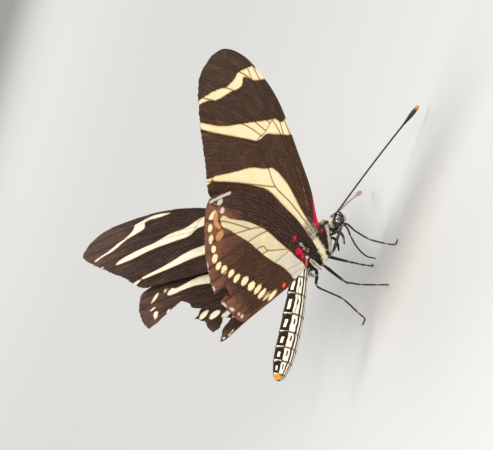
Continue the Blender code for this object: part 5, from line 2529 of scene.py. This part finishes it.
@dataclass(frozen=True)
class Studio:
    """The pale floor, the soft lights and the camera at the photograph's angle.

    Sizes are in millimetres, and those of the floor and of the clipping in metres.
    """

    distance: float = 450.0
    lens: float = 230.0
    sensor: float = 36.0
    clipping: Pair = (0.01, 20.0)
    scale: float = 7.0
    image: tuple[int, int] = (493, 450)
    body_pixel: Pair = (317.96, 243.33)
    right: Triple = (0.1737, -0.2900, -0.9411)
    up: Triple = (0.8962, -0.3497, 0.2732)
    back: Triple = (-0.4083, -0.8909, 0.1992)
    floor_half: float = 6.0
    sky: tuple[float, float, float, float] = (1.0, 1.0, 1.0, 1.0)
    sky_strength: float = 0.40
    lamps: tuple[Lamp, ...] = (
        Lamp("overhead_key", (-0.15, -0.10, 0.50), 0.35, 1.4),
        Lamp("low_front", (-0.10, -0.55, 0.10), 0.30, 4.2),
        Lamp("rear_rim", (0.25, 0.50, 0.30), 0.40, 0.9),
    )

    def make_floor(self) -> None:
        """Lay a wide pale floor at level zero."""
        builder = bmesh.new()
        bmesh.ops.create_grid(builder, x_segments=1, y_segments=1, size=self.floor_half)
        mesh = mesh_of(builder, "floor", outwards=False)
        mesh.materials.append(FloorFinish().material())
        floor = bpy.data.objects.new("floor", mesh)
        bpy.context.scene.collection.objects.link(floor)

    def make_camera(self, stance: Stance) -> None:
        """Place a long lens that sees the butterfly as the photograph does.

        Args:
            stance: Where the body stands.
        """
        right, up, back = (Vector(axis).normalized() for axis in (self.right, self.up, self.back))
        centre = Vector(stance.body_at) + back * self.distance
        aside = (self.image[0] / 2 - self.body_pixel[0]) / self.scale
        above = (self.body_pixel[1] - self.image[1] / 2) / self.scale
        aim = (right * aside + up * above - back * self.distance).normalized()
        across = aim.cross(up).normalized()
        axes = Matrix((across, across.cross(aim), -aim)).transposed()
        camera = bpy.data.objects.new("camera", bpy.data.cameras.new("camera"))
        camera.data.lens = self.lens
        camera.data.sensor_width = self.sensor
        camera.data.clip_start, camera.data.clip_end = self.clipping
        camera.matrix_world = Matrix.Translation(centre * MM) @ axes.to_4x4()
        bpy.context.scene.collection.objects.link(camera)
        bpy.context.scene.camera = camera

    def make_lights(self) -> None:
        """Hang an overhead key, a fill near the camera and a faint rim, under an even sky."""
        for lamp in self.lamps:
            lamp.make()
        world = bpy.data.worlds.new("even_sky")
        world.use_nodes = True
        sky = world.node_tree.nodes["Background"]
        sky.inputs["Color"].default_value = self.sky
        sky.inputs["Strength"].default_value = self.sky_strength
        bpy.context.scene.world = world
        bpy.context.scene.view_settings.view_transform = "Standard"


def make_wings(stance: Stance, hair: Material) -> None:
    """Make all four wings with their fringes and the hair at their roots.

    Args:
        stance: Where the body stands.
        hair: The finish of the hair.
    """
    fore = WingFinish("forewing_scales", Tint.UNDER_BROWN, Tint.UNDER_PALE_BROWN).material()
    hind = WingFinish("hindwing_scales", Tint.HIND_BROWN, Tint.HIND_MARGIN_BROWN, rim_width=0.16).material()
    hind_plans = {Side.LEFT: LEFT_HINDWING, Side.RIGHT: HINDWING}
    tears = {Side.LEFT: [LEFT_TEAR], Side.RIGHT: [RIGHT_SLIT]}
    for side in Side:
        pair = (
            (Wing(FOREWING, FOREWING_MARKS, side, stance, ()), fore),
            (Wing(hind_plans[side], HINDWING_MARKS, side, stance, tears[side]), hind),
        )
        for wing, finish in pair:
            wing.make_sheet(finish)
            wing.make_fringe(finish)
            wing.make_root_hair(hair)


def within_spot(points: Rows) -> Rows:
    """Which places of the body lie in the cream spot on top of the collar."""
    ahead = np.abs(points[:, 0] - COLLAR_SPOT_AT)
    return (ahead < COLLAR_SPOT_HALF) & (np.abs(points[:, 2]) < COLLAR_SPOT_HALF)


def make_body(stance: Stance, hair: Material, scales: Material) -> None:
    """Make the skin, the coat on it and the eyes.

    Args:
        stance: Where the body stands.
        hair: The finish of the hair.
        scales: The finish of the abdomen's scales.
    """
    trunk = Trunk()
    body = Body(trunk, BodyMarks(trunk), stance)
    eyes = Eyes()
    to_pitched = stance.pitched().inverted() @ stance.level()
    body.make_skin(hair)
    body.make_coat(HEAD_COAT, hair, lambda points: eyes.covers(points, to_pitched))
    body.make_coat(THORAX_COAT, hair)
    body.make_coat(COLLAR_TUFTS, hair, lambda points: ~within_spot(points))
    body.make_coat(ABDOMEN_COAT, scales)
    eye = EyeFinish().material()
    for side in Side:
        eyes.make(side, stance, eye)
        SideFlap(side).make(stance, hair)


def make_limbs(stance: Stance, hair: Material) -> None:
    """Make feelers, mouth parts and legs.

    Args:
        stance: Where the body stands.
        hair: The finish of the walking legs' bristles.
    """
    cuticle = CuticleFinish("feeler_cuticle", joint=Tint.CLUB_ORANGE).material()
    stub = CuticleFinish("pale_feeler_cuticle", joint=Tint.STUB_PINK).material()
    leg = CuticleFinish("leg_cuticle", joint=Tint.HAIR_CREAM).material()
    pale = HairFinish("pale_hair", Tint.HAIR_TAN).material()
    grey = HairFinish("grey_hair").material()
    Antenna(Side.RIGHT, RIGHT_FEELER_WAY, False).make(stance, cuticle)
    Antenna(Side.LEFT, LEFT_FEELER_WAY, True).make(stance, stub)
    Limb("proboscis", TONGUE, TONGUE_RADII, (2,), "cuticle").make(stance, leg)
    for side in Side:
        palp_knots = turned_level(PALP, stance.pitch, side)
        palp = Limb(f"palp_{side.word}", palp_knots, PALP_RADII, (1, 2), "pale_hair", pale_side=side)
        palp.make(stance, pale)
        palp.make_tufts(stance, pale, PALP_FUR)
        fore_knots = [(x, y * side.value, z) for x, y, z in FORELEG]
        foreleg = Limb(f"foreleg_{side.word}", fore_knots, FORELEG_RADII, (1, 2), "pale_hair", pale_side=side)
        foreleg.make(stance, grey)
        foreleg.make_tufts(stance, grey, FORELEG_FUR)
    for name, knots in WALKING_LEGS.items():
        limb = Limb(name, knots, WALKING_RADII, WALKING_JOINTS, "leg_cuticle", feet=2)
        limb.make(stance, leg)
        limb.make_tufts(stance, hair, WALKING_FUR)
        limb.make_claws(stance, leg)


def main() -> None:
    """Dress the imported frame, light it and point the camera."""
    logging.basicConfig(level=logging.INFO, format="%(message)s")
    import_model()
    stance = Stance()
    hair = HairFinish("body_hair").material()
    scales = HairFinish("abdomen_scales", sheen=0.0).material()
    make_wings(stance, hair)
    make_body(stance, hair, scales)
    make_limbs(stance, hair)
    studio = Studio()
    studio.make_floor()
    studio.make_camera(stance)
    studio.make_lights()


if __name__ == "__main__":
    main()
